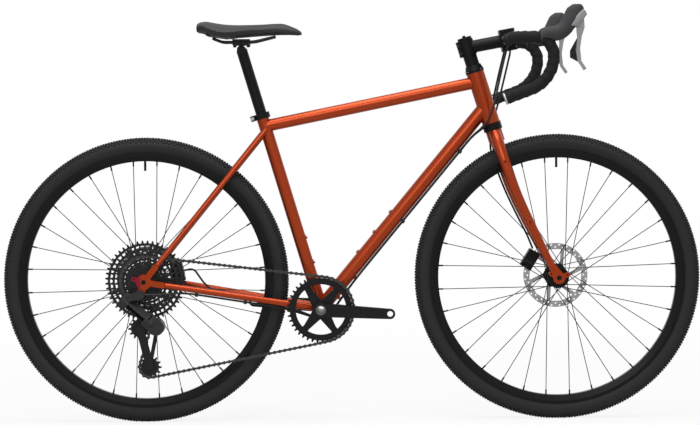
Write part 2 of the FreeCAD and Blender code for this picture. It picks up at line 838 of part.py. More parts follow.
stem = cut_by(stem, [bar_bore] + bolt_holes).removeSplitter()
save("stem", [stem])
cap_bolt = rod(steerer_top, steerer_top + steer_axis * (top_cap_height + bolt_head_height / 2), bolt_radius)
cap_head_start = steerer_top + steer_axis * top_cap_height
cap_bolt = cap_bolt.fuse(rod(cap_head_start, cap_head_start + steer_axis * bolt_head_height,
                             bolt_head_radius))
save("steering_bolts", [bolt for bolt, hole in face_bolts] + clamp_bolts + [cap_bolt])


# Drop handlebar with its tape and end plugs

def bar_edges(start_y):
    """One half of the bar's centre line, on the left, from a distance off the middle to its end."""
    turn_y = bar_half_width - bar_corner_radius
    corner_start = shifted(bar_centre, turn_y)
    corner_end = shifted(bar_centre + forward * bar_corner_radius, bar_half_width)
    corner_middle = shifted(bar_centre + forward * (bar_corner_radius * (1 - math.sqrt(0.5))),
                            turn_y + bar_corner_radius * math.sqrt(0.5))
    hook_centre = shifted(bar_centre + forward * (bar_reach - bar_hook_top_radius)
                          - up * bar_hook_top_radius, bar_half_width)
    low_centre = hook_centre + forward * (bar_hook_top_radius - bar_hook_radius)
    hook_top = hook_centre + up * bar_hook_top_radius
    hook_front = hook_centre + forward * bar_hook_top_radius
    hook_end = low_centre + direction(bar_end_slope - 90) * bar_hook_radius
    bar_end = hook_end + direction(180 + bar_end_slope) * bar_end_length
    edges = [Part.LineSegment(shifted(bar_centre, start_y), corner_start).toShape()]
    edges.append(Part.Arc(corner_start, corner_middle, corner_end).toShape())
    edges.append(Part.LineSegment(corner_end, hook_top).toShape())
    edges.append(Part.Arc(hook_top, hook_centre + direction(45) * bar_hook_top_radius, hook_front).toShape())
    edges.append(Part.Arc(hook_front, low_centre + direction((bar_end_slope - 90) / 2) * bar_hook_radius,
                          hook_end).toShape())
    edges.append(Part.LineSegment(hook_end, bar_end).toShape())
    return edges, bar_end, direction(180 + bar_end_slope)


centre_line, bar_end, bar_end_heading = bar_edges(0)
bar_core = swept(centre_line, bar_radius)
bar_inside = swept(centre_line, bar_radius - bar_wall)
bulge_end = bar_clamp_half_width + bar_clamp_radius
bulge = across(bar_centre, 0, bar_clamp_half_width, bar_clamp_radius)
bulge = bulge.fuse(taper(shifted(bar_centre, bar_clamp_half_width), shifted(bar_centre, bulge_end),
                         bar_clamp_radius, bar_radius))
half_bar = bar_core.fuse(bulge).cut(bar_inside)
handlebar = half_bar.fuse(mirrored(half_bar)).removeSplitter()
save("handlebar", [handlebar])

tape_radius = bar_radius + tape_thickness
tape_line = bar_edges(tape_start)[0]
tape = swept(tape_line, tape_radius).cut(swept(tape_line, bar_radius + running_clearance))
save("bar_tape", [mirrored(tape), tape])
plug = rod(bar_end, bar_end + bar_end_heading * plug_length, tape_radius)
plug = plug.fuse(rod(bar_end - bar_end_heading * (plug_length * 3), bar_end,
                     bar_radius - bar_wall - running_clearance))
save("bar_plugs", [mirrored(plug), plug])


# Wheels: tyre, rim with its valve, spokes with their nipples, and hub

rim_flange_top = bead_seat_radius + rim_flange_height
rim_inner_radius = rim_flange_top - rim_depth


def tyre(centre):
    """Hollow carcass seated between the rim's flanges."""
    section_radius = tyre_width / 2
    section_height = wheel_radius - section_radius
    rest = rim_flange_top + seat_clearance
    bead_outer = rim_width / 2 - rim_flange_thickness - seat_clearance
    bead_inner = bead_outer - tyre_wall
    bead_foot = bead_seat_radius + seat_clearance
    cavity_radius = section_radius - tyre_wall
    outer_y = math.sqrt(section_radius ** 2 - (section_height - rest) ** 2)
    cavity_foot = section_height - math.sqrt(cavity_radius ** 2 - bead_inner ** 2)

    def at(y, radius):
        return vector(centre.x, y, centre.z + radius)

    edges = []
    for side in (right_side, left_side):
        crown = at(0, wheel_radius)
        edges.append(Part.Arc(crown, at(side * section_radius, section_height),
                              at(side * outer_y, rest)).toShape())
        foot = [at(side * outer_y, rest), at(side * bead_outer, rest), at(side * bead_outer, bead_foot)]
        foot += [at(side * bead_inner, bead_foot), at(side * bead_inner, cavity_foot)]
        edges += [Part.LineSegment(start, end).toShape() for start, end in zip(foot, foot[1:])]
        edges.append(Part.Arc(foot[-1], at(side * cavity_radius, section_height),
                              at(0, wheel_radius - tyre_wall)).toShape())
    outline = Part.Wire(Part.__sortEdges__(edges))
    return Part.Face(outline).revolve(centre, left, 360)


def rim(centre):
    """Double-walled rim: a bed with two flanges over a hollow chamber."""
    half = rim_width / 2
    bed = half - rim_flange_thickness
    shoulder = bead_seat_radius - rim_flange_thickness
    face = rim_spoke_face_width / 2
    outer = [(-half, rim_flange_top), (-bed, rim_flange_top), (-bed, bead_seat_radius),
             (bed, bead_seat_radius)]
    outer += [(bed, rim_flange_top), (half, rim_flange_top), (half, shoulder), (face, rim_inner_radius)]
    outer += [(-face, rim_inner_radius), (-half, shoulder)]
    top_y = half - rim_wall * rim_chamber_inset_shares[0]
    foot_y = face - rim_wall * rim_chamber_inset_shares[1]
    chamber = [(-top_y, bead_seat_radius - rim_wall), (top_y, bead_seat_radius - rim_wall)]
    chamber += [(foot_y, rim_inner_radius + rim_wall), (-foot_y, rim_inner_radius + rim_wall)]
    return turned(outer, centre).cut(turned(chamber, centre))


def spoke(centre, side, flange, index):
    """One spoke with its elbow and nipple, and the holes it needs in the rim and the flange."""
    step = 360 / spoke_count
    rim_angle = step * (2 * index + (0.5 if side == right_side else 1.5))
    lean = 1 if index % 2 == 0 else -1
    hub_angle = rim_angle + lean * spoke_crossings * 2 * step
    seat = shifted(centre + direction(rim_angle) * (rim_inner_radius + rim_wall), side * spoke_rim_offset)
    hole = centre + direction(hub_angle) * flange_hole_circle
    outside = flange + side * (flange_thickness / 2 + spoke_radius)
    inside = flange - side * (flange_thickness / 2 + spoke_radius)
    if lean > 0:
        start = shifted(hole, outside + side * spoke_flange_slack)
        elbow_end = shifted(hole, inside)
    else:
        start = shifted(hole, inside - side * running_clearance)
        elbow_end = shifted(hole, outside)
    along = (seat - start).normalize()
    head_base = seat + along * (seat_clearance * 2)
    pieces = [rod(start, seat, spoke_radius), rod(start, elbow_end, spoke_radius)]
    pieces.append(rod(seat - along * nipple_length, head_base, nipple_radius))
    pieces.append(rod(head_base, head_base + along * nipple_head_height, nipple_head_radius))
    rim_hole = rod(seat - along * cut_overrun, seat + along * rim_wall, nipple_radius + running_clearance)
    flange_hole = across(hole, flange - flange_thickness, flange + flange_thickness,
                         spoke_radius + running_clearance)
    return joined(pieces), rim_hole, flange_hole


def wheel(centre, flange_right, flange_left, hub_profile):
    spokes = []
    rim_holes = []
    flange_holes = []
    for side, flange in ((right_side, -flange_right), (left_side, flange_left)):
        for index in range(spoke_count // 2):
            piece, rim_hole, flange_hole = spoke(centre, side, flange, index)
            spokes.append(piece)
            rim_holes.append(rim_hole)
            flange_holes.append(flange_hole)
    valve_top = centre + up * (bead_seat_radius + valve_foot_height)
    valve_foot = centre + up * bead_seat_radius
    valve_tip = valve_top - up * valve_length
    valve = rod(valve_tip, valve_foot, valve_radius).fuse(rod(valve_foot, valve_top, valve_radius * 2))
    rim_holes.append(rod(valve_tip, valve_foot + up * cut_overrun, valve_radius + running_clearance))
    bored_rim = rim(centre).cut(Part.makeCompound(rim_holes))
    hub = turned(hub_profile, centre).cut(Part.makeCompound(flange_holes))
    return {"tyre": tyre(centre), "rim": bored_rim, "valve": valve, "spokes": spokes, "hub": hub}


hub_bore_radius = axle_radius + running_clearance
half_flange = flange_thickness / 2
front_half = front_axle_spacing / 2 - seat_clearance
rear_half = rear_axle_spacing / 2 - seat_clearance
front_rotor_y = front_axle_spacing / 2 - front_rotor_inset
rear_rotor_y = rear_axle_spacing / 2 - rear_rotor_inset
rotor_seat_radius = rotor_bore_radius - running_clearance


def hub_left_end(flange_left, rotor_y, half):
    """From the hub shell over the left flange and the rotor's seat to the end cap."""
    profile = [(flange_left - half_flange, hub_shell_radius), (flange_left - half_flange, flange_radius)]
    profile += [(flange_left + half_flange, flange_radius), (flange_left + half_flange, rotor_seat_radius)]
    profile += [(rotor_y + rotor_thickness, rotor_seat_radius),
                (rotor_y + rotor_thickness, hub_end_cap_radius)]
    return profile + [(half, hub_end_cap_radius), (half, hub_bore_radius)]


front_profile = [(-front_half, hub_bore_radius), (-front_half, hub_end_cap_radius)]
front_profile += [(-front_flange_right - half_flange, hub_end_cap_radius)]
front_profile += [(-front_flange_right - half_flange, flange_radius)]
front_profile += [(-front_flange_right + half_flange, flange_radius)]
front_profile += [(-front_flange_right + half_flange, hub_shell_radius)]
front_profile += hub_left_end(front_flange_left, front_rotor_y, front_half)
rear_profile = [(-rear_half, hub_bore_radius), (-rear_half, freehub_core_radius)]
rear_profile += [(-rear_flange_right - half_flange, freehub_core_radius)]
rear_profile += [(-rear_flange_right - half_flange, flange_radius)]
rear_profile += [(-rear_flange_right + half_flange, flange_radius)]
rear_profile += [(-rear_flange_right + half_flange, hub_shell_radius)]
rear_profile += hub_left_end(rear_flange_left, rear_rotor_y, rear_half)
front_wheel = wheel(front_axle_centre, front_flange_right, front_flange_left, front_profile)
rear_wheel = wheel(rear_axle_centre, rear_flange_right, rear_flange_left, rear_profile)
for name, pieces in (("front", front_wheel), ("rear", rear_wheel)):
    save(name + "_tyre", [pieces["tyre"]])
    save(name + "_rim", [pieces["rim"], pieces["valve"]])
    save(name + "_spokes", pieces["spokes"])
    save(name + "_hub", [pieces["hub"]])


# Through axles, each with its head on the left

def through_axle(centre, spacing, end_thickness):
    reach = spacing / 2 + end_thickness
    axle = across(centre, -reach, reach, axle_radius)
    return axle.fuse(across(centre, reach, reach + axle_head_length, axle_head_radius)).removeSplitter()


save("front_axle", [through_axle(front_axle_centre, front_axle_spacing, fork_tip_thickness)])
save("rear_axle", [through_axle(rear_axle_centre, rear_axle_spacing, dropout_thickness)])


# Disc brakes: rotors on the hubs, calipers with pads on the fork blade and the chainstay

rotor_track_radius = rotor_radius - rotor_track_width


def rotor(centre, y):
    low = y - rotor_thickness / 2
    high = y + rotor_thickness / 2
    disc = across(centre, low, high, rotor_radius)
    cutters = [across(centre, low - cut_overrun, high + cut_overrun, rotor_bore_radius)]
    step = 360 / rotor_arm_count
    inner_half = math.degrees(rotor_arm_width / 2 / rotor_hub_radius)
    outer_half = math.degrees(rotor_arm_width / 2 / rotor_track_radius)
    for arm in range(rotor_arm_count):
        start = arm * step
        outline = [centre + direction(start + inner_half) * rotor_hub_radius]
        outline.append(centre + direction(start + step - inner_half) * rotor_hub_radius)
        rim_start = start + rotor_sweep_angle + outer_half
        rim_end = start + step + rotor_sweep_angle - outer_half
        rim_points = [between(rim_end, rim_start, share) for share in (0.0, 0.5, 1.0)]
        outline += [centre + direction(angle) * rotor_track_radius for angle in rim_points]
        cutters.append(slab(outline, low - cut_overrun, high + cut_overrun))
    for row, share in enumerate(rotor_hole_row_shares):
        for index in range(rotor_hole_count):
            angle = (index + row / 2) * 360 / rotor_hole_count
            place = centre + direction(angle) * (rotor_track_radius + rotor_track_width * share)
            cutters.append(across(place, low - cut_overrun, high + cut_overrun, rotor_hole_radius))
    return disc.cut(Part.makeCompound(cutters))


def caliper(centre, y, angle, obstacles):
    """Body over the rotor's edge, with a slot for the rotor and a pad on each side of it."""
    outward = direction(angle)
    along = direction(angle + 90)
    near = centre + outward * (rotor_radius - caliper_depth * 2 / 3)
    far = near + outward * caliper_depth
    corners = [near - along * (caliper_length / 2), far - along * (caliper_length / 2)]
    corners += [far + along * (caliper_length / 2), near + along * (caliper_length / 2)]
    body = slab(corners, y - caliper_width / 2, y + caliper_width / 2)
    body = body.cut(across(centre, y - caliper_slot / 2, y + caliper_slot / 2,
                           rotor_radius + caliper_edge_gap))
    body = cut_by(body, obstacles)
    body = max(body.Solids, key=lambda solid: solid.Volume)
    pads = []
    pad_middle = centre + outward * (rotor_track_radius + rotor_track_width / 2)
    pad_start = pad_middle - along * (caliper_length * pad_length_share / 2)
    pad_end = pad_middle + along * (caliper_length * pad_length_share / 2)
    for side in (right_side, left_side):
        face = y + side * (rotor_thickness / 2 + pad_gap)
        back = y + side * caliper_slot / 2
        pads.append(strip(pad_start, pad_end, rotor_track_width - pad_gap, rotor_track_width - pad_gap,
                          face, back))
    return [body] + pads


save("front_rotor", [rotor(front_axle_centre, front_rotor_y)])
save("rear_rotor", [rotor(rear_axle_centre, rear_rotor_y)])
save("front_caliper", caliper(front_axle_centre, front_rotor_y, front_caliper_angle, [fork]))
save("rear_caliper", caliper(rear_axle_centre, rear_rotor_y, rear_caliper_angle,
                             chainstay_cores + seatstay_cores + [dropouts[1]]))


# Drivetrain layout: the chain runs over the engaged cog, the chainring and the two pulleys

def pitch_radius(teeth):
    return chain_pitch / (2 * math.sin(math.pi / teeth))


def cog_y(index):
    return -(rear_axle_spacing / 2 - smallest_cog_inset - cog_pitch * index)


guide_centre = rear_axle_centre - forward * guide_pulley_back - up * guide_pulley_down
cage_pivot = guide_centre + forward * cage_pivot_forward + up * cage_pivot_up
gear_y = cog_y(engaged_cog)


def tangent_run(start, end):
    """Straight run between two sprockets, each a centre, a tooth count and a sense of turning."""
    start_reach = start[2] * pitch_radius(start[1])
    end_reach = end[2] * pitch_radius(end[1])
    gap = end[0] - start[0]
    offset = end_reach - start_reach
    length = math.sqrt(gap.x ** 2 + gap.z ** 2 - offset ** 2)
    heading = math.degrees(math.atan2(gap.z, gap.x) - math.atan2(offset, length))
    return length, heading


def chain_course(cage_angle):
    """Stretches of the chain in order: runs and arcs, with their lengths in pitches."""
    tension_centre = guide_centre + direction(cage_angle) * cage_length
    wheels = [(rear_axle_centre, cog_teeth[engaged_cog], -1), (shell_centre, chainring_teeth, -1)]
    wheels += [(tension_centre, pulley_teeth, -1), (guide_centre, pulley_teeth, 1)]
    runs = [tangent_run(wheels[index], wheels[(index + 1) % len(wheels)]) for index in range(len(wheels))]
    course = []
    for index, (length, heading) in enumerate(runs):
        centre, teeth, turn = wheels[index]
        start = shifted(centre, 0) + direction(heading - turn * 90) * pitch_radius(teeth)
        course.append(("run", start, heading, length / chain_pitch, index))
        following = (index + 1) % len(wheels)
        centre, teeth, turn = wheels[following]
        sweep = (runs[following][1] - heading) * turn % 360
        course.append(("arc", centre, heading - turn * 90, sweep * teeth / 360, following))
    return wheels, course


def course_pitches(cage_angle):
    return sum(stretch[3] for stretch in chain_course(cage_angle)[1])


def settled_cage_angle():
    """Cage angle, near its rest, at which the chain closes on a whole number of link pairs."""
    target = 2 * round(course_pitches(cage_rest_angle) / 2)
    low = cage_rest_angle - cage_search_angle
    high = cage_rest_angle + cage_search_angle
    falling = course_pitches(low) > course_pitches(high)
    for step in range(cage_search_steps):
        middle = (low + high) / 2
        if (course_pitches(middle) > target) == falling:
            low = middle
        else:
            high = middle
    return (low + high) / 2


cage_angle = settled_cage_angle()
tension_centre = guide_centre + direction(cage_angle) * cage_length
chain_wheels, course = chain_course(cage_angle)
link_count = round(course_pitches(cage_angle))


def run_y(index, share_done, pitches):
    """The chain's distance from the middle plane along a run, shifting across away from the sprockets."""
    ends = (gear_y, -chainline, gear_y, gear_y, gear_y)
    done = (share_done * pitches - chain_shift_pitches) / (pitches - 2 * chain_shift_pitches)
    done = min(max(done, 0), 1)
    return between(ends[index], ends[index + 1], done)


def chain_places():
    """Pin places along the chain, and for each sprocket the angle of one pin that sits on it."""
    places = []
    phases = {}
    passed = 0
    for kind, start, heading, pitches, index in course:
        number = math.ceil(passed)
        while number < passed + pitches and number < link_count:
            here = number - passed
            if kind == "run":
                point = start + direction(heading) * (here * chain_pitch)
                places.append(shifted(point, run_y(index, here / pitches, pitches)))
            else:
                centre, teeth, turn = chain_wheels[index]
                angle = heading + turn * here * 360 / teeth
                point = centre + direction(angle) * pitch_radius(teeth)
                places.append(shifted(point, -chainline if index == 1 else gear_y))
                phases.setdefault(index, angle)
            number += 1
        passed += pitches
    return places, phases


pin_places, sprocket_phases = chain_places()


# Chain: inner links with rollers and outer links with pins, by turns

def link_plate(y_from, y_to, hole_radius):
    half = chain_pitch / 2
    waist = chain_plate_height * chain_waist_share
    plate = strip(vector(-half, 0, 0), vector(half, 0, 0), waist, waist, y_from, y_to)
    for end in (-half, half):
        plate = plate.fuse(across(vector(end, 0, 0), y_from, y_to, chain_plate_height / 2))
    plate = plate.removeSplitter()
    if hole_radius:
        for end in (-half, half):
            plate = plate.cut(across(vector(end, 0, 0), y_from - cut_overrun, y_to + cut_overrun,
                                     hole_radius))
    return plate


def inner_link():
    half = chain_inner_width / 2
    pieces = [link_plate(-half - chain_plate_thickness, -half, roller_bore_radius)]
    pieces.append(link_plate(half, half + chain_plate_thickness, roller_bore_radius))
    for end in (-chain_pitch / 2, chain_pitch / 2):
        pieces.append(ring(vector(end, -half, 0), vector(end, half, 0), roller_radius, roller_bore_radius))
    return joined(pieces)


def outer_link():
    near = chain_inner_width / 2 + chain_plate_thickness + chain_plate_clearance
    far = near + chain_plate_thickness
    pieces = [link_plate(-far, -near, 0), link_plate(near, far, 0)]
    for end in (-chain_pitch / 2, chain_pitch / 2):
        pieces.append(across(vector(end, 0, 0), -far, far, pin_radius))
    return joined(pieces)


link_forms = (inner_link(), outer_link())
chain = []
for index in range(link_count):
    start = pin_places[index]
    end = pin_places[(index + 1) % link_count]
    along = (end - start).normalize()
    upward = along.cross(left).normalize()
    turn = FreeCAD.Rotation(along, upward.cross(along), upward, "XZY")
    link = link_forms[index % 2].copy()
    link.Placement = FreeCAD.Placement(between(start, end, 0.5), turn)
    chain.append(link)
save("chain", chain)


# Toothed wheels

def sprocket(centre, y, teeth, thickness, phase, bore_radius, addendum):
    """Toothed disc with a tooth gap at the given angle."""
    radius = pitch_radius(teeth)
    root = radius - roller_radius - tooth_root_clearance
    tip = radius + addendum
    step = 360 / teeth
    outline = []
    for tooth in range(teeth):
        gap = phase + tooth * step
        outline.append(centre + direction(gap - step * tooth_flank_share) * radius)
        outline.append(centre + direction(gap - step * tooth_root_share) * root)
        outline.append(centre + direction(gap + step * tooth_root_share) * root)
        outline.append(centre + direction(gap + step * tooth_flank_share) * radius)
        outline.append(centre + direction(gap + step * (0.5 - tooth_tip_share)) * tip)
        outline.append(centre + direction(gap + step * (0.5 + tooth_tip_share)) * tip)
    disc = slab(outline, y - thickness / 2, y + thickness / 2)
    return disc.cut(across(centre, y - thickness, y + thickness, bore_radius))


def cog_windows(centre, y, teeth):
    """Openings between the webs of a large cog."""
    inner = cog_carrier_radius
    outer = pitch_radius(teeth) - roller_radius - cog_rim_height
    step = 360 / cog_window_count
    inner_half = math.degrees(cog_web_width / 2 / inner)
    outer_half = math.degrees(cog_web_width / 2 / outer)
    cutters = []
    for window in range(cog_window_count):
        start = window * step
        outline = [centre + direction(start + inner_half) * inner,
                   centre + direction(start + step - inner_half) * inner]
        for share in (0.0, 0.5, 1.0):
            angle = between(start + step - outer_half, start + outer_half, share)
            outline.append(centre + direction(angle) * outer)
        cutters.append(slab(outline, y - cog_thickness, y + cog_thickness))
    return Part.makeCompound(cutters)


# Cassette: eleven cogs with spacers between them, on the freehub body with its lockring

freehub_fit = freehub_radius + running_clearance
freehub_start = -(rear_flange_right + half_flange + freehub_inset)
last_cog_face = cog_y(0) - cog_thickness / 2
freehub = across(rear_axle_centre, last_cog_face, freehub_start, freehub_radius)
freehub = freehub.cut(across(rear_axle_centre, -rear_half, 0, freehub_core_radius + running_clearance))
lockring = across(rear_axle_centre, last_cog_face - cog_thickness, last_cog_face, lockring_radius)
lockring = lockring.cut(across(rear_axle_centre, -rear_half, 0, freehub_core_radius + running_clearance))
cassette = [freehub, lockring]
for index, teeth in enumerate(cog_teeth):
    y = cog_y(index)
    phase = sprocket_phases[0] if index == engaged_cog else 0
    cog = sprocket(rear_axle_centre, y, teeth, cog_thickness, phase, freehub_fit, tooth_addendum)
    if teeth >= windowed_cog_teeth:
        cog = cog.cut(cog_windows(rear_axle_centre, y, teeth))
    cassette.append(cog)
    if index:
        cassette.append(ring(shifted(rear_axle_centre, cog_y(index - 1) + cog_thickness / 2),
                             shifted(rear_axle_centre,
                                     y - cog_thickness / 2), spacer_ring_radius, freehub_fit))
save("cassette", cassette)


# Crankset: right arm with its spider, spindle pressed into it, left arm, chainring and its bolts

crank_inner = cup_face + crank_gap
arm_inner = crank_outset - crank_thickness
pedal_places = {right_side: shell_centre + direction(crank_rest_angle) * crank_length}
pedal_places[left_side] = shell_centre + direction(180 + crank_rest_angle) * crank_length


def crank_arm(side):
    arm = strip(shell_centre, pedal_places[side], crank_root_width, crank_tip_width,
                side * arm_inner, side * crank_outset)
    hub = across(shell_centre, side * crank_inner, side * crank_outset, crank_hub_radius)
    hole = across(pedal_places[side], side * crank_inner, side * (crank_outset + cut_overrun),
                  pedal_hole_radius)
    return arm.fuse(hub).cut(hole)


chainring_face = chainline + chainring_body_thickness / 2
spider_outer = chainring_face + spider_arm_thickness
bolt_places = []
for angle in (spider_angle, 180 - spider_angle, 180 + spider_angle, -spider_angle):
    bolt_places.append(shell_centre + direction(angle + crank_rest_angle) * bolt_circle_radius)
spider = [crank_arm(right_side)]
for place in bolt_places:
    spider.append(strip(shell_centre, place, crank_root_width, spider_tip_radius * 2, -spider_outer,
                        -chainring_face))
spindle = ring(shifted(shell_centre, -crank_outset), shifted(shell_centre, crank_outset - crank_gap),
               spindle_radius, spindle_radius - spindle_wall)
crank_holes = [across(shell_centre, -crank_outset - cut_overrun, crank_outset, spindle_radius)]
for place in bolt_places:
    crank_holes.append(across(place, -arm_inner, 0, chainring_bolt_radius + running_clearance))
crank_right = cut_by(joined(spider), crank_holes)
crank_left = crank_arm(left_side).cut(across(shell_centre, 0, crank_outset + cut_overrun,
                                             spindle_radius + running_clearance))
save("crank_right", [crank_right, spindle])
save("crank_left", [crank_left.removeSplitter()])

chainring = sprocket(shell_centre, -chainline, chainring_teeth, chainring_thickness, sprocket_phases[1],
                     chainring_inner_radius, tooth_addendum)
body_low = -chainline - chainring_body_thickness / 2
body_high = -chainline + chainring_body_thickness / 2
chainring_pieces = [chainring, ring(shifted(shell_centre, body_low), shifted(shell_centre, body_high),
                                    chainring_body_radius, chainring_inner_radius)]
for place in bolt_places:
    outside = between(shell_centre, place, chainring_inner_radius / bolt_circle_radius)
    chainring_pieces.append(strip(place, outside, spider_tip_radius * 2, spider_arm_width, body_low,
                                  body_high))
chainring = joined(chainring_pieces)
chainring_bolts = []
for place in bolt_places:
    chainring = chainring.cut(across(place, -arm_inner, 0, chainring_bolt_radius + running_clearance))
    bolt = across(place, -spider_outer, body_high, chainring_bolt_radius)
    bolt = bolt.fuse(across(place, -spider_outer - chainring_bolt_head_height, -spider_outer,
                            chainring_bolt_head_radius))
    chainring_bolts.append(bolt.removeSplitter())
save("chainring", [chainring] + chainring_bolts)


# Rear derailleur: two knuckles, two parallel links, a cage and two pulleys

link_axis = direction(-link_fall_angle)
sweep = math.radians(link_sweep_angle)
link_swing = left * math.cos(sweep) + direction(-link_fall_angle - 90) * math.sin(sweep)
pin_axis = link_axis.cross(link_swing).normalize()
lower_pivot = shifted(cage_pivot - link_axis * clutch_reach, -mech_outset)
upper_pivot = lower_pivot - link_axis * link_length
link_offsets = (-link_spacing / 2, link_spacing / 2)


def mech_box(origin, along, swing, cross):
    """Box on the links' own axes, from three pairs of distances."""
    corner = origin + link_axis * along[0] + link_swing * swing[0] + pin_axis * cross[0]
    along_run = link_axis * (along[1] - along[0])
    swing_run = link_swing * (swing[1] - swing[0])
    base = polygon([corner, corner + along_run, corner + along_run + swing_run, corner + swing_run])
    return Part.Face(base).extrude(pin_axis * (cross[1] - cross[0]))


def mech_pin(pivot, offset, half, radius):
    middle = pivot + link_swing * offset
    return rod(middle - pin_axis * half, middle + pin_axis * half, radius)


def mech_link(offset):
    half = link_width / 2
    bar = mech_box(upper_pivot + link_swing * offset, (0, link_length),
                   (-link_thickness / 2, link_thickness / 2),
                   (-half, half))
    pieces = [bar] + [mech_pin(pivot, offset, half, link_eye_radius) for pivot in (upper_pivot, lower_pivot)]
    holes = [mech_pin(pivot, offset, link_width, link_pin_radius + link_pin_clearance)
             for pivot in (upper_pivot, lower_pivot)]
    return cut_by(joined(pieces), holes)


def mech_knuckle(pivot, facing):
    """Block with two lugs that hold a pair of link pins, on one side of the pivots."""
    lug_inner = link_width / 2 + link_side_gap
    lug_outer = lug_inner + link_lug_thickness
    reach = link_spacing / 2 + link_eye_radius
    block_start = facing * (link_eye_radius + link_side_gap)
    block_end = block_start + facing * mech_block_length
    pieces = [mech_box(pivot, sorted((block_start, block_end)), (-reach, reach), (-lug_outer, lug_outer))]
    for side in (-1, 1):
        pieces.append(mech_box(pivot, sorted((-facing * link_eye_radius, block_end)), (-reach, reach),
                               sorted((side * lug_inner, side * lug_outer))))
    pieces += [mech_pin(pivot, offset, lug_outer, link_pin_radius) for offset in link_offsets]
    return pieces, pivot + link_axis * (block_end - facing * mech_block_length / 2)


def link_space(pivot, offset, along):
    """Room that one link sweeps round one of its pins."""
    half = link_width / 2 + link_side_gap
    thick = link_thickness / 2 + link_side_gap
    pin = pivot + link_swing * offset
    spaces = [mech_pin(pivot, offset, half, link_eye_radius + link_side_gap)]
    bar = mech_box(pin, sorted((0, along)), (-thick, thick), (-half, half))
    for step in range(link_swing_steps + 1):
        angle = between(link_swing_range[0], link_swing_range[1], step / link_swing_steps)
        spaces.append(bar.copy().rotate(pin, pin_axis, angle))
    return spaces


hanger_face = rear_axle_spacing / 2 + dropout_thickness
boss_inner = -(hanger_face + seat_clearance)
boss_outer = boss_inner - mech_boss_width
upper_pieces, upper_block = mech_knuckle(upper_pivot, -1)
upper_pieces.append(across(hanger_bolt, boss_outer, boss_inner, mech_boss_radius))
upper_pieces.append(across(hanger_bolt, boss_inner, -rear_axle_spacing / 2, bolt_radius * 2))
mount_arm = strip(hanger_bolt, shifted(upper_block, 0), mech_boss_radius * 2, mech_arm_width,
                  boss_outer, boss_outer + mech_arm_thickness)
for offset in link_offsets:
    mount_arm = cut_by(mount_arm, link_space(upper_pivot, offset, link_length))
upper_pieces.append(mount_arm)
save("derailleur_mount", [joined(upper_pieces)])
save("derailleur_outer_link", [mech_link(link_offsets[0])])
save("derailleur_inner_link", [mech_link(link_offsets[1])])

lower_pieces = mech_knuckle(lower_pivot, 1)[0]
lower_pieces.append(across(cage_pivot, -clutch_outer_outset, -clutch_inner_outset, clutch_radius))
clutch_bore = across(cage_pivot, -mech_outset, -clutch_inner_outset + cut_overrun,
                     cage_shaft_radius + running_clearance)
save("derailleur_knuckle", [joined(lower_pieces).cut(clutch_bore)])

outer_plate = (gear_y - cage_gap / 2 - cage_plate_thickness, gear_y - cage_gap / 2)
inner_plate = (gear_y + cage_gap / 2, gear_y + cage_gap / 2 + cage_plate_thickness)
cage_pieces = [strip(cage_pivot, guide_centre, cage_plate_width, cage_plate_width, *outer_plate)]
cage_pieces.append(strip(cage_pivot, tension_centre, cage_plate_width / 2, cage_plate_width / 2,
                         *outer_plate))
for plate in (outer_plate, inner_plate):
    cage_pieces.append(strip(guide_centre, tension_centre, cage_plate_width, cage_plate_width, *plate))
for centre in (guide_centre, tension_centre):
    cage_pieces.append(across(centre, outer_plate[0], inner_plate[1], pulley_axle_radius))
cage_pieces.append(across(cage_pivot, -mech_outset + seat_clearance, outer_plate[0], cage_shaft_radius))
save("derailleur_cage", [joined(cage_pieces)])
for name, centre, index in (("guide_pulley", guide_centre, 3), ("tension_pulley", tension_centre, 2)):
    save(name, [sprocket(centre, gear_y, pulley_teeth, pulley_thickness, sprocket_phases[index],
                         pulley_axle_radius + running_clearance, pulley_tooth_addendum)])


# Bottle bosses brazed into the tubes, with their bolts

down_heading = (down_tube_top - shell_centre).normalize()
down_below = vector(down_heading.z, 0, -down_heading.x)
seat_front = vector(seat_axis.z, 0, -seat_axis.x)


def bottle_boss(foot, outward, tube_radius, tube):
    """Tube with one boss added, and the bolt that fills it."""
    base = foot + outward * (tube_radius - tube_wall / 2)
    head_base = foot + outward * (tube_radius + boss_height)
    inside = foot + outward * (tube_radius - tube_wall - boss_height)
    tube = tube.fuse(rod(base, head_base, boss_radius))
    tube = tube.cut(rod(inside, head_base + outward * cut_overrun, bolt_radius + running_clearance))
    bolt = rod(inside, head_base, bolt_radius)
    bolt = bolt.fuse(rod(head_base, head_base + outward * (bolt_head_height / 2), bolt_head_radius))
    return tube, bolt


frame_bolts = []
for places, outward in ((upper_down_tube_bosses, down_below * -1), (lower_down_tube_bosses, down_below)):
    for place in places:
        down_tube, bolt = bottle_boss(shell_centre + down_heading * place, outward, down_tube_radius,
                                      down_tube)
        frame_bolts.append(bolt)
for place in seat_tube_bosses:
    seat_tube, bolt = bottle_boss(shell_centre + seat_axis * place, seat_front, seat_tube_radius, seat_tube)
    frame_bolts.append(bolt)
save("down_tube", [down_tube])
save("seat_tube", [seat_tube])


# Seat collar round the top of the seat tube, closed by a bolt across its ears

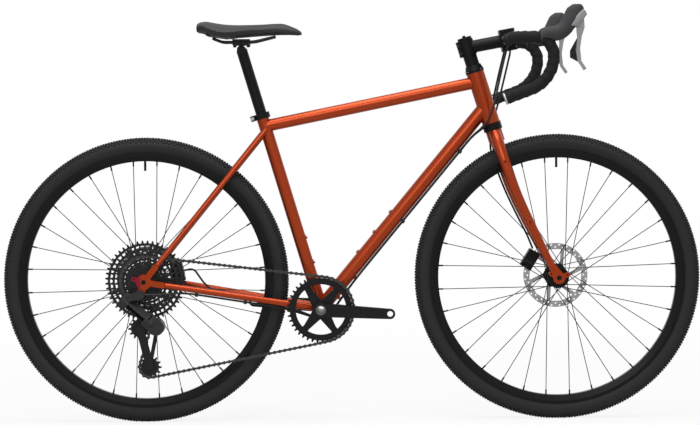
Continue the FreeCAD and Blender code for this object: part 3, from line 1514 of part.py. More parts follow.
collar_bottom = seat_top - seat_axis * collar_height
collar_radius = seat_tube_radius + collar_wall
collar = rod(collar_bottom, seat_top, collar_radius)
ear_points = [collar_bottom, collar_bottom - seat_front * (collar_radius + collar_ear_length)]
ear_points += [point + seat_axis * collar_height for point in reversed(ear_points)]
collar = collar.fuse(slab(ear_points, -collar_ear_width / 2, collar_ear_width / 2))
collar = collar.cut(rod(collar_bottom - seat_axis * cut_overrun, seat_top + seat_axis * cut_overrun,
                        seat_tube_radius + running_clearance))
slot_points = [point - seat_front * cut_overrun for point in ear_points]
collar = collar.cut(slab(slot_points, -stem_slot_width / 2, stem_slot_width / 2))
collar_bolt_place = collar_bottom + seat_axis * (collar_height / 2)
collar_bolt_place = collar_bolt_place - seat_front * (collar_radius + bolt_head_radius)
collar = collar.cut(across(collar_bolt_place, -collar_ear_width, collar_ear_width,
                           bolt_radius + running_clearance))
save("seat_collar", [collar.removeSplitter()])
collar_bolt = across(collar_bolt_place, -collar_ear_width / 2, collar_ear_width / 2, bolt_radius)
collar_bolt = collar_bolt.fuse(across(collar_bolt_place, -collar_ear_width / 2 - bolt_head_height,
                                      -collar_ear_width / 2, bolt_head_radius))
save("frame_bolts", frame_bolts + [collar_bolt])


# Seatpost with its saddle clamp

post_foot = seat_top - seat_axis * seatpost_insertion
post_top = seat_top + seat_axis * seatpost_rise
seatpost = rod(post_foot, post_top, seatpost_radius)
seatpost = seatpost.cut(rod(post_foot - seat_axis * cut_overrun,
                            post_top - seat_axis * seatpost_head_radius * 2,
                            seatpost_radius - seatpost_wall))
seatpost = seatpost.fuse(across(post_top, -seatpost_head_width / 2, seatpost_head_width / 2,
                                seatpost_head_radius))
cradle_foot = post_top + up * seatpost_head_radius
seat_limit = slab([cradle_foot - forward * cradle_length, cradle_foot + forward * cradle_length,
                   cradle_foot + forward * cradle_length + up * cradle_length,
                   cradle_foot - forward * cradle_length + up * cradle_length], -cradle_length, cradle_length)
seatpost = seatpost.cut(seat_limit).removeSplitter()

rail_height = cradle_foot.z + cradle_height
cradle_half = rail_spread + cradle_side
saddle_rear = post_top.x - saddle_set_back
saddle_base = rail_height + rail_drop


def clamp_block(bottom, top):
    corners = [vector(post_top.x - cradle_length / 2, 0, bottom), vector(post_top.x + cradle_length / 2, 0,
                                                                         bottom)]
    corners += [vector(point.x, 0, top) for point in reversed(corners)]
    return slab(corners, -cradle_half, cradle_half)


def rail_rise(share):
    under_shell = saddle_shell_thickness + seat_clearance * 2
    return rail_drop + saddle_depth * share - under_shell - rail_radius


def saddle_rail(side):
    places = [(rail_end_shares[0], rail_tail_spread, rail_rise(rail_tuck_shares[0]))]
    places += [(rail_bend_shares[0], rail_spread, 0), (rail_bend_shares[1], rail_spread, 0)]
    places += [(rail_end_shares[1], rail_nose_spread, rail_rise(rail_tuck_shares[1]))]
    points = [vector(saddle_rear + saddle_length * share, side * y, rail_height + rise) for share, y,
              rise in places]
    return route(points, rail_bend_shares[0])


rail_lines = [saddle_rail(right_side), saddle_rail(left_side)]
rails = [swept(line, rail_radius) for line in rail_lines]
rail_grooves = [swept(line, rail_radius + running_clearance) for line in rail_lines]
cradle = clamp_block(cradle_foot.z, rail_height - clamp_split_gap / 2)
clamp_plate = clamp_block(rail_height + clamp_split_gap / 2, rail_height + clamp_plate_height)
clamp_bolts = []
for reach in (-1, 1):
    foot = vector(post_top.x + reach * (cradle_length / 2 - bolt_head_radius), 0, cradle_foot.z)
    top = vector(foot.x, 0, rail_height + clamp_plate_height)
    bolt = rod(foot - up * bolt_head_height, foot, bolt_head_radius)
    clamp_bolts.append(bolt.fuse(rod(foot, top, bolt_radius)))
    rail_grooves.append(rod(foot - up * cut_overrun, top + up * cut_overrun, bolt_radius + running_clearance))
    seatpost = seatpost.cut(rod(foot - up * (bolt_head_height + seat_clearance), foot,
                                bolt_head_radius + seat_clearance))
save("seatpost", [seatpost])
save("seatpost_clamp", [cut_by(cradle, rail_grooves), cut_by(clamp_plate, rail_grooves)] + clamp_bolts)
save("saddle_rails", rails)


# Saddle: a padded cover with a crown and drawn-in sides, its skirt round a thin shell

def saddle_section(index, drop, share, thickness):
    """Outline across the saddle at one station: crown and drawn-in sides, or the flat shell under it."""
    x = saddle_rear + saddle_length * saddle_station_shares[index]
    half = saddle_width / 2 * saddle_width_shares[index] * share
    foot_half = half * saddle_drawn_in_share
    foot = saddle_base + saddle_depth * saddle_foot_shares[index]
    edge = saddle_base + saddle_depth * saddle_edge_shares[index]
    top = saddle_base + saddle_depth * saddle_top_shares[index]
    if thickness:
        seat = saddle_base + saddle_depth * saddle_seat_shares[index] - drop
        corners = [vector(x, -foot_half, seat), vector(x, foot_half, seat)]
        corners += [vector(x, foot_half, seat - thickness), vector(x, -foot_half, seat - thickness)]
        return polygon(corners)
    left_edge = vector(x, half, edge)
    right_edge = vector(x, -half, edge)
    edges = [Part.Arc(right_edge, vector(x, 0, top), left_edge).toShape()]
    edges.append(Part.LineSegment(left_edge, vector(x, foot_half, foot)).toShape())
    edges.append(Part.LineSegment(vector(x, foot_half, foot), vector(x, -foot_half, foot)).toShape())
    edges.append(Part.LineSegment(vector(x, -foot_half, foot), right_edge).toShape())
    return Part.Wire(edges)


stations = range(len(saddle_station_shares))
saddle_cover = Part.makeLoft([saddle_section(index, 0, 1, 0) for index in stations], True, False)
channel = Part.makeLoft([saddle_section(index, 0, saddle_channel_share, saddle_depth)
                         for index in stations[1:-1]], True, False)
saddle_cover = saddle_cover.cut(channel)
saddle_shell = Part.makeLoft([saddle_section(index, seat_clearance, saddle_shell_share,
                                             saddle_shell_thickness)
                              for index in stations[1:-1]], True, False).cut(saddle_cover)
save("saddle_cover", [saddle_cover])
save("saddle_shell", [saddle_shell])


# Brake hoods on the bar, brake levers hinged in them, and the shift paddle behind the right lever

hook_centre = bar_centre + forward * (bar_reach - bar_hook_top_radius) - up * bar_hook_top_radius
lever_pivot = bar_centre + forward * (bar_reach + lever_pivot_ahead) + up * lever_pivot_rise


def hood(side):
    y = side * bar_half_width
    centres = [shifted(hook_centre + forward * (hood_forward * ahead) + up * (hood_rise * rise), y)
               for ahead, rise in hood_place_shares]
    sections = []
    for index, centre in enumerate(centres):
        along = centres[min(index + 1, len(centres) - 1)] - centres[max(index - 1, 0)]
        raised = vector(-along.z, 0, along.x).normalize() * (hood_height / 2 * hood_height_shares[index])
        wide = left * (hood_width / 2 * hood_width_shares[index])
        longer, shorter = (raised, wide) if raised.Length >= wide.Length else (wide, raised)
        sections.append(Part.Wire(Part.Ellipse(centre + longer, centre + shorter, centre).toShape()))
    body = Part.makeLoft(sections, True, False)
    slot_half = lever_thickness / 2 + lever_side_gap
    body = body.cut(across(lever_pivot, y - slot_half, y + slot_half, lever_slot_radius))
    lever_room = slab(lever_outline, y - slot_half, y + slot_half)
    for step in range(lever_travel_steps + 1):
        angle = between(-lever_travel_margin, lever_travel + lever_travel_margin, step / lever_travel_steps)
        body = body.cut(lever_room.copy().rotate(lever_pivot, left, angle))
    fitted = swept(tape_line, tape_radius + running_clearance)
    body = body.cut(fitted if side == left_side else mirrored(fitted))
    body = max(body.Solids, key=lambda solid: solid.Volume)
    pin_half = hood_width / 2 * hood_width_shares[4] - lever_side_gap
    return body.fuse(across(lever_pivot, y - pin_half, y + pin_half, lever_pin_radius))


def lever_point(ahead, down):
    return lever_pivot + forward * (lever_depth * ahead) - up * (lever_length * down)


lever_outline = [lever_point(ahead, down) for ahead, down in lever_front_shares + lever_back_shares]


def brake_lever(side):
    y = side * bar_half_width
    low = y - lever_thickness / 2
    high = y + lever_thickness / 2
    blade = slab(lever_outline, low, high)
    blade = blade.fuse(across(lever_pivot, low, high, lever_eye_radius))
    return blade.cut(across(lever_pivot, low - cut_overrun, high + cut_overrun,
                            lever_pin_radius + running_clearance))


paddle_edge = [lever_point(*lever_back_shares[index]) - forward * paddle_gap for index in (1, 2, 3)]
paddle_outline = paddle_edge + [paddle_edge[1] - forward * paddle_depth]
paddle_outline.append(paddle_edge[1] - forward * paddle_depth - up * (lever_length * paddle_end_share))
paddle_y = -bar_half_width
paddle_pin_centre = shifted(paddle_edge[1] - forward * paddle_pin_radius, paddle_y)
paddle_pin_half = up * (lever_length * paddle_pin_share)
paddle = slab(paddle_outline, paddle_y - paddle_thickness / 2, paddle_y + paddle_thickness / 2)
paddle = paddle.fuse(rod(paddle_pin_centre - paddle_pin_half, paddle_pin_centre + paddle_pin_half,
                         paddle_pin_radius))
save("hood_right", [hood(right_side)])
save("hood_left", [hood(left_side)])
save("brake_lever_right", [brake_lever(right_side).removeSplitter()])
save("brake_lever_left", [brake_lever(left_side).removeSplitter()])
save("shift_paddle", [paddle])


# Brake hoses and shift housing along their clips, with loops from the bar to the frame

hose_drop = down_tube_radius + hose_gap + hose_radius
stay_below = vector(chainstay_heading.z, 0, -chainstay_heading.x)


def under_down_tube(distance, side):
    return shifted(shell_centre + down_heading * distance + down_below * hose_drop, side * hose_spacing / 2)


def chainstay_place(distance, side):
    """Centre and radius of a chainstay, by its distance from the axle in side view."""
    tip = chainstay_set_back - dropout_arm_width / 2
    share = (distance - tip) / (chainstay_length - tip)
    centre = rear_axle_centre + chainstay_heading * distance
    y = side * between(dropout_middle, chainstay_root_spread, share)
    return shifted(centre, y), between(chainstay_tip_radius, chainstay_root_radius, share)


def under_chainstay(distance, side):
    centre, radius = chainstay_place(distance, side)
    return centre + stay_below * (radius + hose_gap + hose_radius)


def around_shell(side):
    """From the first guide on the down tube to below the bottom bracket."""
    points = [under_down_tube(down_tube_guides[0], side), under_down_tube(chainstay_bridge_set_back * 2,
                                                                          side)]
    return points + [shifted(shell_centre + direction(angle) * shell_route_radius, side * hose_spacing / 2)
                     for angle in shell_route_angles]


def hose(points, radius=hose_radius):
    return swept(route(points), radius)


rear_points = around_shell(left_side) + [under_chainstay(place, left_side) for place in rear_hose_stay_route]
for distance, y, drop_share in stay_crossings:
    beside = between(chainstay_place(distance, left_side)[0], under_chainstay(distance, left_side),
                     drop_share)
    rear_points.append(shifted(beside, y))
rear_caliper_face = rear_axle_centre + direction(rear_caliper_angle) * (rotor_radius + caliper_depth / 3)
for lead in (hose_lead_in, seat_clearance):
    rear_points.append(shifted(rear_caliper_face + direction(rear_caliper_angle) * lead, caliper_entry_y))
housing_points = around_shell(right_side) + [under_chainstay(place,
                                                             right_side) for place in housing_stay_route]
boss_front = hanger_bolt + forward * (mech_boss_radius + seat_clearance)
for lead in (housing_lead_in, 0):
    housing_points.append(shifted(boss_front + forward * lead, boss_inner - mech_boss_width / 2))
front_points = [fork_point(*place) for place in front_hose_route]
caliper_top = front_axle_centre + direction(front_caliper_angle) * (rotor_radius + caliper_edge_gap)
caliper_reach = caliper_length / 2 + hose_radius - seat_clearance
caliper_top = caliper_top + direction(front_caliper_angle - 90) * caliper_reach
front_points.append(shifted(caliper_top, caliper_entry_y))


def loop_points(side):
    points = [fork_point(height, ahead, side * y) for height, ahead, y in loop_route]
    return points + [under_down_tube(place, side) for place in (under_tube_start, down_tube_guides[0])]


save("rear_brake_hose", [hose(rear_points)])
save("shift_housing", [hose(housing_points)])
save("front_brake_hose", [hose(front_points)])
save("cable_loops", [hose(loop_points(right_side)), hose(loop_points(left_side))])


# Cable guides: clips under the down tube and the chainstays

hose_spaces = [hose(points, hose_radius + running_clearance) for points in (rear_points, housing_points)]


def guide(foot, along, below, reach, y_from, y_to, tube):
    corners = [foot - along * (guide_length / 2), foot + along * (guide_length / 2)]
    corners += [point + below * reach for point in reversed(corners)]
    block = cut_by(slab(corners, y_from, y_to), [tube] + hose_spaces)
    return max(block.Solids, key=lambda solid: solid.Volume)


guides = []
half_width = hose_spacing / 2 + hose_radius + guide_wall
for place in down_tube_guides:
    foot = shell_centre + down_heading * (place - guide_length / 2)
    guides.append(guide(foot, down_heading, down_below, hose_drop + hose_radius + guide_wall,
                        -half_width, half_width, down_core))
for side, places, core in ((right_side, right_chainstay_guides, chainstay_cores[0]),
                           (left_side, left_chainstay_guides, chainstay_cores[1])):
    for place in places:
        centre, radius = chainstay_place(place, side)
        half_width = hose_radius + guide_wall
        guides.append(guide(shifted(centre, 0), chainstay_heading, stay_below,
                            radius + hose_gap + hose_radius * 2 + guide_wall,
                            centre.y - half_width, centre.y + half_width, core))
save("cable_guides", guides)
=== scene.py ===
import math

import bmesh
import bpy
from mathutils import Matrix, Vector


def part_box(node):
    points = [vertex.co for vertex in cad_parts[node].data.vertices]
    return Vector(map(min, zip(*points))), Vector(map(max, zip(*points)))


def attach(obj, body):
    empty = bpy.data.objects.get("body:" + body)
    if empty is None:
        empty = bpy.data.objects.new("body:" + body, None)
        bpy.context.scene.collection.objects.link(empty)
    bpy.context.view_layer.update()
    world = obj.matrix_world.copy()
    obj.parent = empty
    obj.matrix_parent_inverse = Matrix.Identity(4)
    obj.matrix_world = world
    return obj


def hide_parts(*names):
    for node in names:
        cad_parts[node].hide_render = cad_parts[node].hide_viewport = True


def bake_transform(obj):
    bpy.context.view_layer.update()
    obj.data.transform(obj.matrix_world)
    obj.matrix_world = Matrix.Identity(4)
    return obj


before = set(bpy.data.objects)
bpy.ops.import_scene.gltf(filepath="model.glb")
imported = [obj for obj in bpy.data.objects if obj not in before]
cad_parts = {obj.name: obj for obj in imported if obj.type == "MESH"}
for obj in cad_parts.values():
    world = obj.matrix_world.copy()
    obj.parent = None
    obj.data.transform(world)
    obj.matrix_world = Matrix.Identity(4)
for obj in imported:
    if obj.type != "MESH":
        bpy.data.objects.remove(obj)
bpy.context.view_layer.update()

# Frame and fork
# Brazed steel tubes, sprayed with a burnt orange metallic enamel under a clear coat.
# The CAD tubes keep their shape; the dropouts end in a redder coat of the same enamel.
mm = 0.001
tint_low = 0.3
tint_high = 0.7
bump_strength = 0.5


def colour(code):
    parts = [(code >> shift & 255) / 255 for shift in (16, 8, 0)]
    linear = [p / 12.92 if p <= 0.04045 else ((p + 0.055) / 1.055) ** 2.4 for p in parts]
    return (*linear, 1.0)


def add(tree, kind, values=None, links=None, **settings):
    node = tree.nodes.new(kind)
    for name, value in settings.items():
        setattr(node, name, value)
    for socket, value in (values or {}).items():
        node.inputs[socket].default_value = value
    for socket, source in (links or {}).items():
        tree.links.new(source, node.inputs[socket])
    return node


def surface(name, deep, bright, grain, rough, relief, **shine):
    # Grain is the width of the pattern and relief its depth, both in millimetres
    material = bpy.data.materials.new(name)
    material.use_nodes = True
    tree = material.node_tree
    shader = tree.nodes["Principled BSDF"]
    for socket, value in shine.items():
        shader.inputs[socket.replace("_", " ")].default_value = value
    place = add(tree, "ShaderNodeTexCoord")
    noise = add(tree, "ShaderNodeTexNoise", {"Scale": 1 / (grain * mm), "Detail": 3.0},
                {"Vector": place.outputs["Object"]})
    tint = add(tree, "ShaderNodeValToRGB", None, {"Fac": noise.outputs["Fac"]})
    tint.color_ramp.elements[0].position = tint_low
    tint.color_ramp.elements[1].position = tint_high
    tint.color_ramp.elements[0].color = colour(deep)
    tint.color_ramp.elements[1].color = colour(bright)
    gloss = add(tree, "ShaderNodeMapRange", {"To Min": rough[0], "To Max": rough[1]},
                {"Value": noise.outputs["Fac"]})
    bump = add(tree, "ShaderNodeBump", {"Strength": bump_strength, "Distance": relief * mm},
               {"Height": noise.outputs["Fac"]})
    tree.links.new(tint.outputs["Color"], shader.inputs["Base Color"])
    tree.links.new(gloss.outputs["Result"], shader.inputs["Roughness"])
    tree.links.new(bump.outputs["Normal"], shader.inputs["Normal"])
    return material


def coat(material, *nodes):
    for node in nodes:
        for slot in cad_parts[node].material_slots:
            slot.material = material


# Metallic enamel: the flake is drawn at 0.8 mm, coarser than life, so that it shows as a soft sparkle
enamel = surface("burnt_orange_enamel", 0x882B08, 0xA23A0C, 0.8, (0.28, 0.38), 0.01,
                 Metallic=0.85, Coat_Weight=0.15, Coat_Roughness=0.06)
coat(enamel, "head_tube", "top_tube", "down_tube", "seat_tube", "bottom_bracket_shell",
     "chainstays", "seatstays", "fork")

# The dropouts turn from orange to red behind the axle
drop_enamel = surface("red_ended_enamel", 0x882B08, 0xA23A0C, 0.8, (0.28, 0.38), 0.01,
                      Metallic=0.85, Coat_Weight=0.15, Coat_Roughness=0.06)
tree = drop_enamel.node_tree
shader = tree.nodes["Principled BSDF"]
orange = shader.inputs["Base Color"].links[0].from_socket
red_from = -513 * mm
red_full = -521 * mm
place = add(tree, "ShaderNodeTexCoord")
parts = add(tree, "ShaderNodeSeparateXYZ", None, {0: place.outputs["Object"]})
behind = add(tree, "ShaderNodeMapRange", {"From Min": red_full, "From Max": red_from},
             {"Value": parts.outputs["X"]})
mixed = add(tree, "ShaderNodeMix", {"A": colour(0x7C1626)}, {"Factor": behind.outputs["Result"], "B": orange},
            data_type="RGBA")
tree.links.new(mixed.outputs["Result"], shader.inputs["Base Color"])
coat(drop_enamel, "dropouts")

# Bearing cups, axles, calipers, clamps, stem and bar
# Forged and turned aluminium, blasted and anodised black, pressed in or bolted on.
# Blasting leaves a fine even grain with a dull sheen.
anodised = surface("black_anodised_aluminium", 0x0C0C0D, 0x141415, 0.7, (0.36, 0.5), 0.02, Metallic=0.6,
                   Specular_IOR_Level=0.25)
coat(anodised, "bearing_cups", "rear_axle", "front_axle", "rear_caliper", "front_caliper", "seat_collar",
     "headset_spacers", "stem", "stem_faceplate", "handlebar", "front_hub", "rear_hub", "seatpost",
     "seatpost_clamp")

# Rims
# Extruded aluminium hoops, anodised black and polished a little more than the clamps.
rim_black = surface("black_polished_rim", 0x0A0A0B, 0x111112, 1.5, (0.26, 0.36), 0.01, Metallic=0.5,
                    Specular_IOR_Level=0.25)
coat(rim_black, "front_rim", "rear_rim")

# Spokes and saddle rails
# Drawn steel wire, black oxide finish, threaded into nipples or bent to shape.
# The oxide leaves a fine grain that breaks the reflection.
wire = surface("black_oxide_wire", 0x18181A, 0x262628, 1.0, (0.3, 0.42), 0.01, Metallic=0.85)
coat(wire, "front_spokes", "rear_spokes", "saddle_rails")

# Bolts and chain
# Stainless bolts and a nickel plated chain of pinned plates, in the grey of used steel.
stainless = surface("stainless_steel", 0x8C8C8E, 0xB4B4B6, 0.6, (0.24, 0.36), 0.01, Metallic=1.0)
plated = surface("nickel_plated_chain", 0x2E2E2D, 0x4C4B49, 1.2, (0.3, 0.45), 0.02, Metallic=1.0)
coat(stainless, "frame_bolts")
coat(wire, "steering_bolts")
coat(plated, "chain")

# Cassette
# Stamped steel cogs on an alloy carrier, under dark nickel plate of an uneven tone.
cog_steel = surface("dark_nickel_cogs", 0x1C1C1C, 0x343434, 2.0, (0.34, 0.5), 0.02, Metallic=0.9)
coat(cog_steel, "cassette")

# Brake rotors
# Laser cut stainless discs on a black alloy carrier, ground flat and left bright.
# The carrier is the part inside a circle round the axle, so it reads the distance from there.
core_edge = 0.5 * mm
carrier_radius = 31 * mm


def cored(material, axle, reach, core):
    # Colours what lies within reach of a line across the bike through the axle
    tree = material.node_tree
    shader = tree.nodes["Principled BSDF"]
    plain = shader.inputs["Base Color"].links[0].from_socket
    place = add(tree, "ShaderNodeTexCoord")
    off = add(tree, "ShaderNodeVectorMath", {1: axle}, {0: place.outputs["Object"]}, operation="SUBTRACT")
    flat = add(tree, "ShaderNodeVectorMath", {1: (1.0, 0.0, 1.0)}, {0: off.outputs[0]}, operation="MULTIPLY")
    far = add(tree, "ShaderNodeVectorMath", None, {0: flat.outputs[0]}, operation="LENGTH")
    outside = add(tree, "ShaderNodeMapRange", {"From Min": reach, "From Max": reach + core_edge},
                  {"Value": far.outputs["Value"]})
    mixed = add(tree, "ShaderNodeMix", {"A": colour(core)},
                {"Factor": outside.outputs["Result"], "B": plain}, data_type="RGBA")
    tree.links.new(mixed.outputs["Result"], shader.inputs["Base Color"])


for wheel in ("front", "rear"):
    low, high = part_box(wheel + "_rim")
    middle = (low + high) / 2
    ground = surface(wheel + "_ground_rotor", 0x8A8A8C, 0xAEAEB0, 1.0, (0.22, 0.34), 0.01, Metallic=1.0)
    cored(ground, middle, carrier_radius, 0x151516)
    coat(ground, wheel + "_rotor")

# Tyres
# Moulded rubber treads with rows of small six-sided knobs, the sides smooth and matt.
# Each tyre is a revolved casing with the knobs set on it in rows, every other row half a step on.
rubber = surface("tyre_rubber", 0x1C1C1D, 0x242425, 3.0, (0.66, 0.8), 0.1, Specular_IOR_Level=0.25)
knob_rows = bpy.data.node_groups.new("knob_row", "GeometryNodeTree")
face = knob_rows.interface
face.new_socket("Geometry", in_out="OUTPUT", socket_type="NodeSocketGeometry")
face.new_socket("Geometry", in_out="INPUT", socket_type="NodeSocketGeometry")
keys = {}
sockets = (("Axle", "Vector"), ("Row radius", "Float"), ("Row offset", "Float"), ("Row slope", "Float"),
           ("Turn", "Float"), ("Count", "Int"), ("Knob size", "Vector"), ("Rubber", "Material"))
for title, kind in sockets:
    keys[title] = face.new_socket(title, in_out="INPUT", socket_type="NodeSocket" + kind).identifier
given = add(knob_rows, "NodeGroupInput").outputs
knob_sides = 6
knob_top = 0.36
knob_foot = 0.5
knob = add(knob_rows, "GeometryNodeMeshCone", {"Vertices": knob_sides, "Radius Top": knob_top,
                                               "Radius Bottom": knob_foot, "Depth": 1.0})
tilt = add(knob_rows, "ShaderNodeCombineXYZ", None, {"X": given["Row slope"]})
shaped = add(knob_rows, "GeometryNodeTransform", None,
             {"Geometry": knob.outputs["Mesh"], "Scale": given["Knob size"]})
leaning = add(knob_rows, "GeometryNodeTransform", None,
              {"Geometry": shaped.outputs[0], "Rotation": tilt.outputs[0]})
circle = add(knob_rows, "GeometryNodeMeshCircle", None,
             {"Vertices": given["Count"], "Radius": given["Row radius"]})
where = add(knob_rows, "GeometryNodeInputPosition")
along = add(knob_rows, "ShaderNodeVectorMath", {0: (0.0, 0.0, 1.0)}, {1: where.outputs[0]},
            operation="CROSS_PRODUCT")
facing = add(knob_rows, "FunctionNodeAxesToRotation", None, {0: where.outputs[0], 1: along.outputs[0]},
             primary_axis="Z", secondary_axis="X")
placed = add(knob_rows, "GeometryNodeInstanceOnPoints", None,
             {"Points": circle.outputs["Mesh"], "Instance": leaning.outputs[0],
              "Rotation": facing.outputs[0]})
shift = add(knob_rows, "ShaderNodeCombineXYZ", None, {"Z": given["Row offset"]})
turn = add(knob_rows, "ShaderNodeCombineXYZ", None, {"Z": given["Turn"]})
turned = add(knob_rows, "GeometryNodeTransform", None,
             {"Geometry": placed.outputs[0], "Rotation": turn.outputs[0], "Translation": shift.outputs[0]})
upright = add(knob_rows, "GeometryNodeTransform", {"Rotation": (math.pi / 2, 0.0, 0.0)},
              {"Geometry": turned.outputs[0], "Translation": given["Axle"]})
both = add(knob_rows, "GeometryNodeJoinGeometry")
knob_rows.links.new(given["Geometry"], both.inputs[0])
knob_rows.links.new(upright.outputs[0], both.inputs[0])
real = add(knob_rows, "GeometryNodeRealizeInstances", None, {0: both.outputs[0]})
rubbered = add(knob_rows, "GeometryNodeSetMaterial", None,
               {"Geometry": real.outputs[0], "Material": given["Rubber"]})
add(knob_rows, "NodeGroupOutput", None, {0: rubbered.outputs[0]})


def plain_piece(name, mesh):
    piece = bpy.data.objects.new(name, mesh)
    bpy.context.scene.collection.objects.link(piece)
    return piece


def settled(piece):
    # Applies the modifiers and leaves one plain mesh
    bpy.context.view_layer.update()
    depsgraph = bpy.context.evaluated_depsgraph_get()
    mesh = bpy.data.meshes.new_from_object(piece.evaluated_get(depsgraph))
    piece.modifiers.clear()
    piece.data = mesh
    return piece


def smooth(piece):
    for polygon in piece.data.polygons:
        polygon.use_smooth = True


section_radius = 21 * mm
casing_radius = 19.6 * mm
side_radius = 20.7 * mm
tread_edge_angle = 56
side_angle = 68
bead_angle = 136
section_step = 8
steps = 192
knob_height = 2.6 * mm
knob_size = (6.6 * mm, 4.6 * mm, knob_height)
knob_count = 158
row_angles = (0, 14, 28, 42, 55)
for wheel in ("front", "rear"):
    low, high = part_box(wheel + "_tyre")
    axle = (low + high) / 2
    wheel_radius = (high.z - low.z) / 2
    hoop_radius = wheel_radius - section_radius
    section = []
    for angle in range(-bead_angle, bead_angle + 1, section_step):
        spread = min(1, max(0, (abs(angle) - tread_edge_angle) / (side_angle - tread_edge_angle)))
        radius = casing_radius + (side_radius - casing_radius) * spread
        lean = math.radians(angle)
        section.append((hoop_radius + radius * math.cos(lean), radius * math.sin(lean)))
    shell = bmesh.new()
    rings = []
    for step in range(steps):
        round_angle = 2 * math.pi * step / steps
        rings.append([shell.verts.new(axle + Vector((far * math.cos(round_angle), side,
                                                     far * math.sin(round_angle)))) for far, side in section])
    for step in range(steps):
        ring, following = rings[step], rings[(step + 1) % steps]
        for place in range(len(section)):
            after = (place + 1) % len(section)
            shell.faces.new((ring[place], ring[after], following[after], following[place]))
    bmesh.ops.recalc_face_normals(shell, faces=shell.faces)
    casing = bpy.data.meshes.new(wheel + "_tyre_tread")
    shell.to_mesh(casing)
    shell.free()
    tyre = plain_piece(wheel + "_tyre_tread", casing)
    smooth(tyre)
    knob_middle = section_radius - knob_height / 2
    for index, slope in enumerate(row_angles):
        for side in ((1,) if slope == 0 else (1, -1)):
            lean = math.radians(slope * side)
            row = tyre.modifiers.new("knobs", "NODES")
            row.node_group = knob_rows
            row[keys["Axle"]] = axle
            row[keys["Row radius"]] = hoop_radius + knob_middle * math.cos(lean)
            row[keys["Row offset"]] = knob_middle * math.sin(lean)
            row[keys["Row slope"]] = -lean
            row[keys["Turn"]] = math.pi / knob_count * (index % 2)
            row[keys["Count"]] = knob_count
            row[keys["Knob size"]] = knob_size
            row[keys["Rubber"]] = rubber
    settled(tyre)
    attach(tyre, wheel + "_wheel")
    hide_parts(wheel + "_tyre")

# Cranks and chainring
# Forged aluminium arms and a stamped ring, sprayed satin black and bolted together.
satin_black = surface("satin_black_lacquer", 0x0A0A0B, 0x121213, 1.5, (0.3, 0.42), 0.015,
                      Metallic=0.4, Specular_IOR_Level=0.2, Coat_Weight=0.1, Coat_Roughness=0.3)
coat(satin_black, "crank_left", "chainring")

# The right arm shows the bare steel end of the spindle in its middle, its grey partly the steel's own and
# partly painted shade for the dark bore
spindle_axle = (-76.3 * mm, 0.0, 279.3 * mm)
spindle_radius = 12.1 * mm
satin_arm_spindle_shade = surface("satin_black_arm_spindle_shade", 0x0A0A0B, 0x121213, 1.5, (0.3, 0.42), 0.015,
                    Metallic=0.4, Specular_IOR_Level=0.2, Coat_Weight=0.1, Coat_Roughness=0.3)
# The spindle disc colour is steel grey darkened below bare steel, a painted shade standing for the shadowed
# bore
cored(satin_arm_spindle_shade, spindle_axle, spindle_radius, 0x5A5A5C)
coat(satin_arm_spindle_shade, "crank_right")

# Derailleur, pulleys, shift paddle and saddle shell
# Moulded nylon and lacquered alloy links on steel pins; mouldings have a fine spark-eroded texture.
moulded = surface("black_moulded_nylon", 0x101011, 0x181819, 0.8, (0.45, 0.6), 0.04, Specular_IOR_Level=0.2)
link_grey = surface("grey_lacquered_link", 0x242426, 0x323234, 1.2, (0.34, 0.46), 0.02, Metallic=0.5,
                    Specular_IOR_Level=0.3)
coat(moulded, "guide_pulley", "tension_pulley", "shift_paddle", "saddle_shell", "derailleur_cage",
     "derailleur_inner_link")
coat(link_grey, "derailleur_mount", "derailleur_outer_link", "derailleur_knuckle")

# Hoses and guides
# Extruded black nylon hose and cable casing, clipped along the frame, with a smooth dull gloss.
hose = surface("black_nylon_hose", 0x0C0C0D, 0x131314, 2.0, (0.3, 0.4), 0.01, Specular_IOR_Level=0.3)
coat(hose, "front_brake_hose", "rear_brake_hose", "shift_housing", "cable_guides")


weld_reach = 0.01 * mm


def copied(node, name):
    # A copy of the CAD mesh with its loose triangles merged
    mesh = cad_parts[node].data.copy()
    mesh.name = name
    welded = bmesh.new()
    welded.from_mesh(mesh)
    bmesh.ops.remove_doubles(welded, verts=welded.verts, dist=weld_reach)
    welded.to_mesh(mesh)
    welded.free()
    mesh.materials.clear()
    return plain_piece(name, mesh)


# Cable loops
# The stretch of casing between the bars and the down tube.
loops = copied("cable_loops", "cable_loop_casings")
smooth(loops)
loops.data.materials.append(hose)
low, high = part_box("cable_loops")
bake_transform(loops)
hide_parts("cable_loops")

# Bar tape
# Padded cork tape wound from the bar ends to the tops, each turn lapping the one before.
# A band of plain tape holds the last turn beside the stem.
tape_cork = surface("black_cork_tape", 0x161617, 0x212122, 1.4, (0.7, 0.85), 0.25, Specular_IOR_Level=0.15)
bar_radius = 11.9 * mm
tape_depth = 3.0 * mm
wrap_pitch = 21 * mm
wrap_lap = 1.6 * mm
lap_rise = 1.1
band_length = 18 * mm
top_start = 60 * mm
bar_x = 389.14 * mm
bar_z = 937.84 * mm
half_width = 215 * mm
corner_radius = 42 * mm
hook_x = 439.14 * mm
hook_radius = 45 * mm
low_x = 399.14 * mm
low_radius = 85 * mm
end_slope = math.radians(20)
end_length = 62 * mm
drop_z = bar_z - hook_radius
top_steps = 40
corner_steps = 30
low_steps = 40
end_steps = 24
top_length = half_width - corner_radius - top_start
line = [Vector((bar_x, top_start + top_length * share / top_steps, bar_z)) for share in range(top_steps + 1)]
for share in range(1, corner_steps + 1):
    angle = math.pi / 2 * share / corner_steps
    line.append(Vector((bar_x + corner_radius * (1 - math.cos(angle)),
                        half_width - corner_radius * (1 - math.sin(angle)), bar_z)))
for share in range(corner_steps + 1):
    angle = math.pi / 2 * share / corner_steps
    line.append(Vector((hook_x + hook_radius * math.sin(angle), half_width,
                        drop_z + hook_radius * math.cos(angle))))
low_turn = math.pi / 2 - end_slope
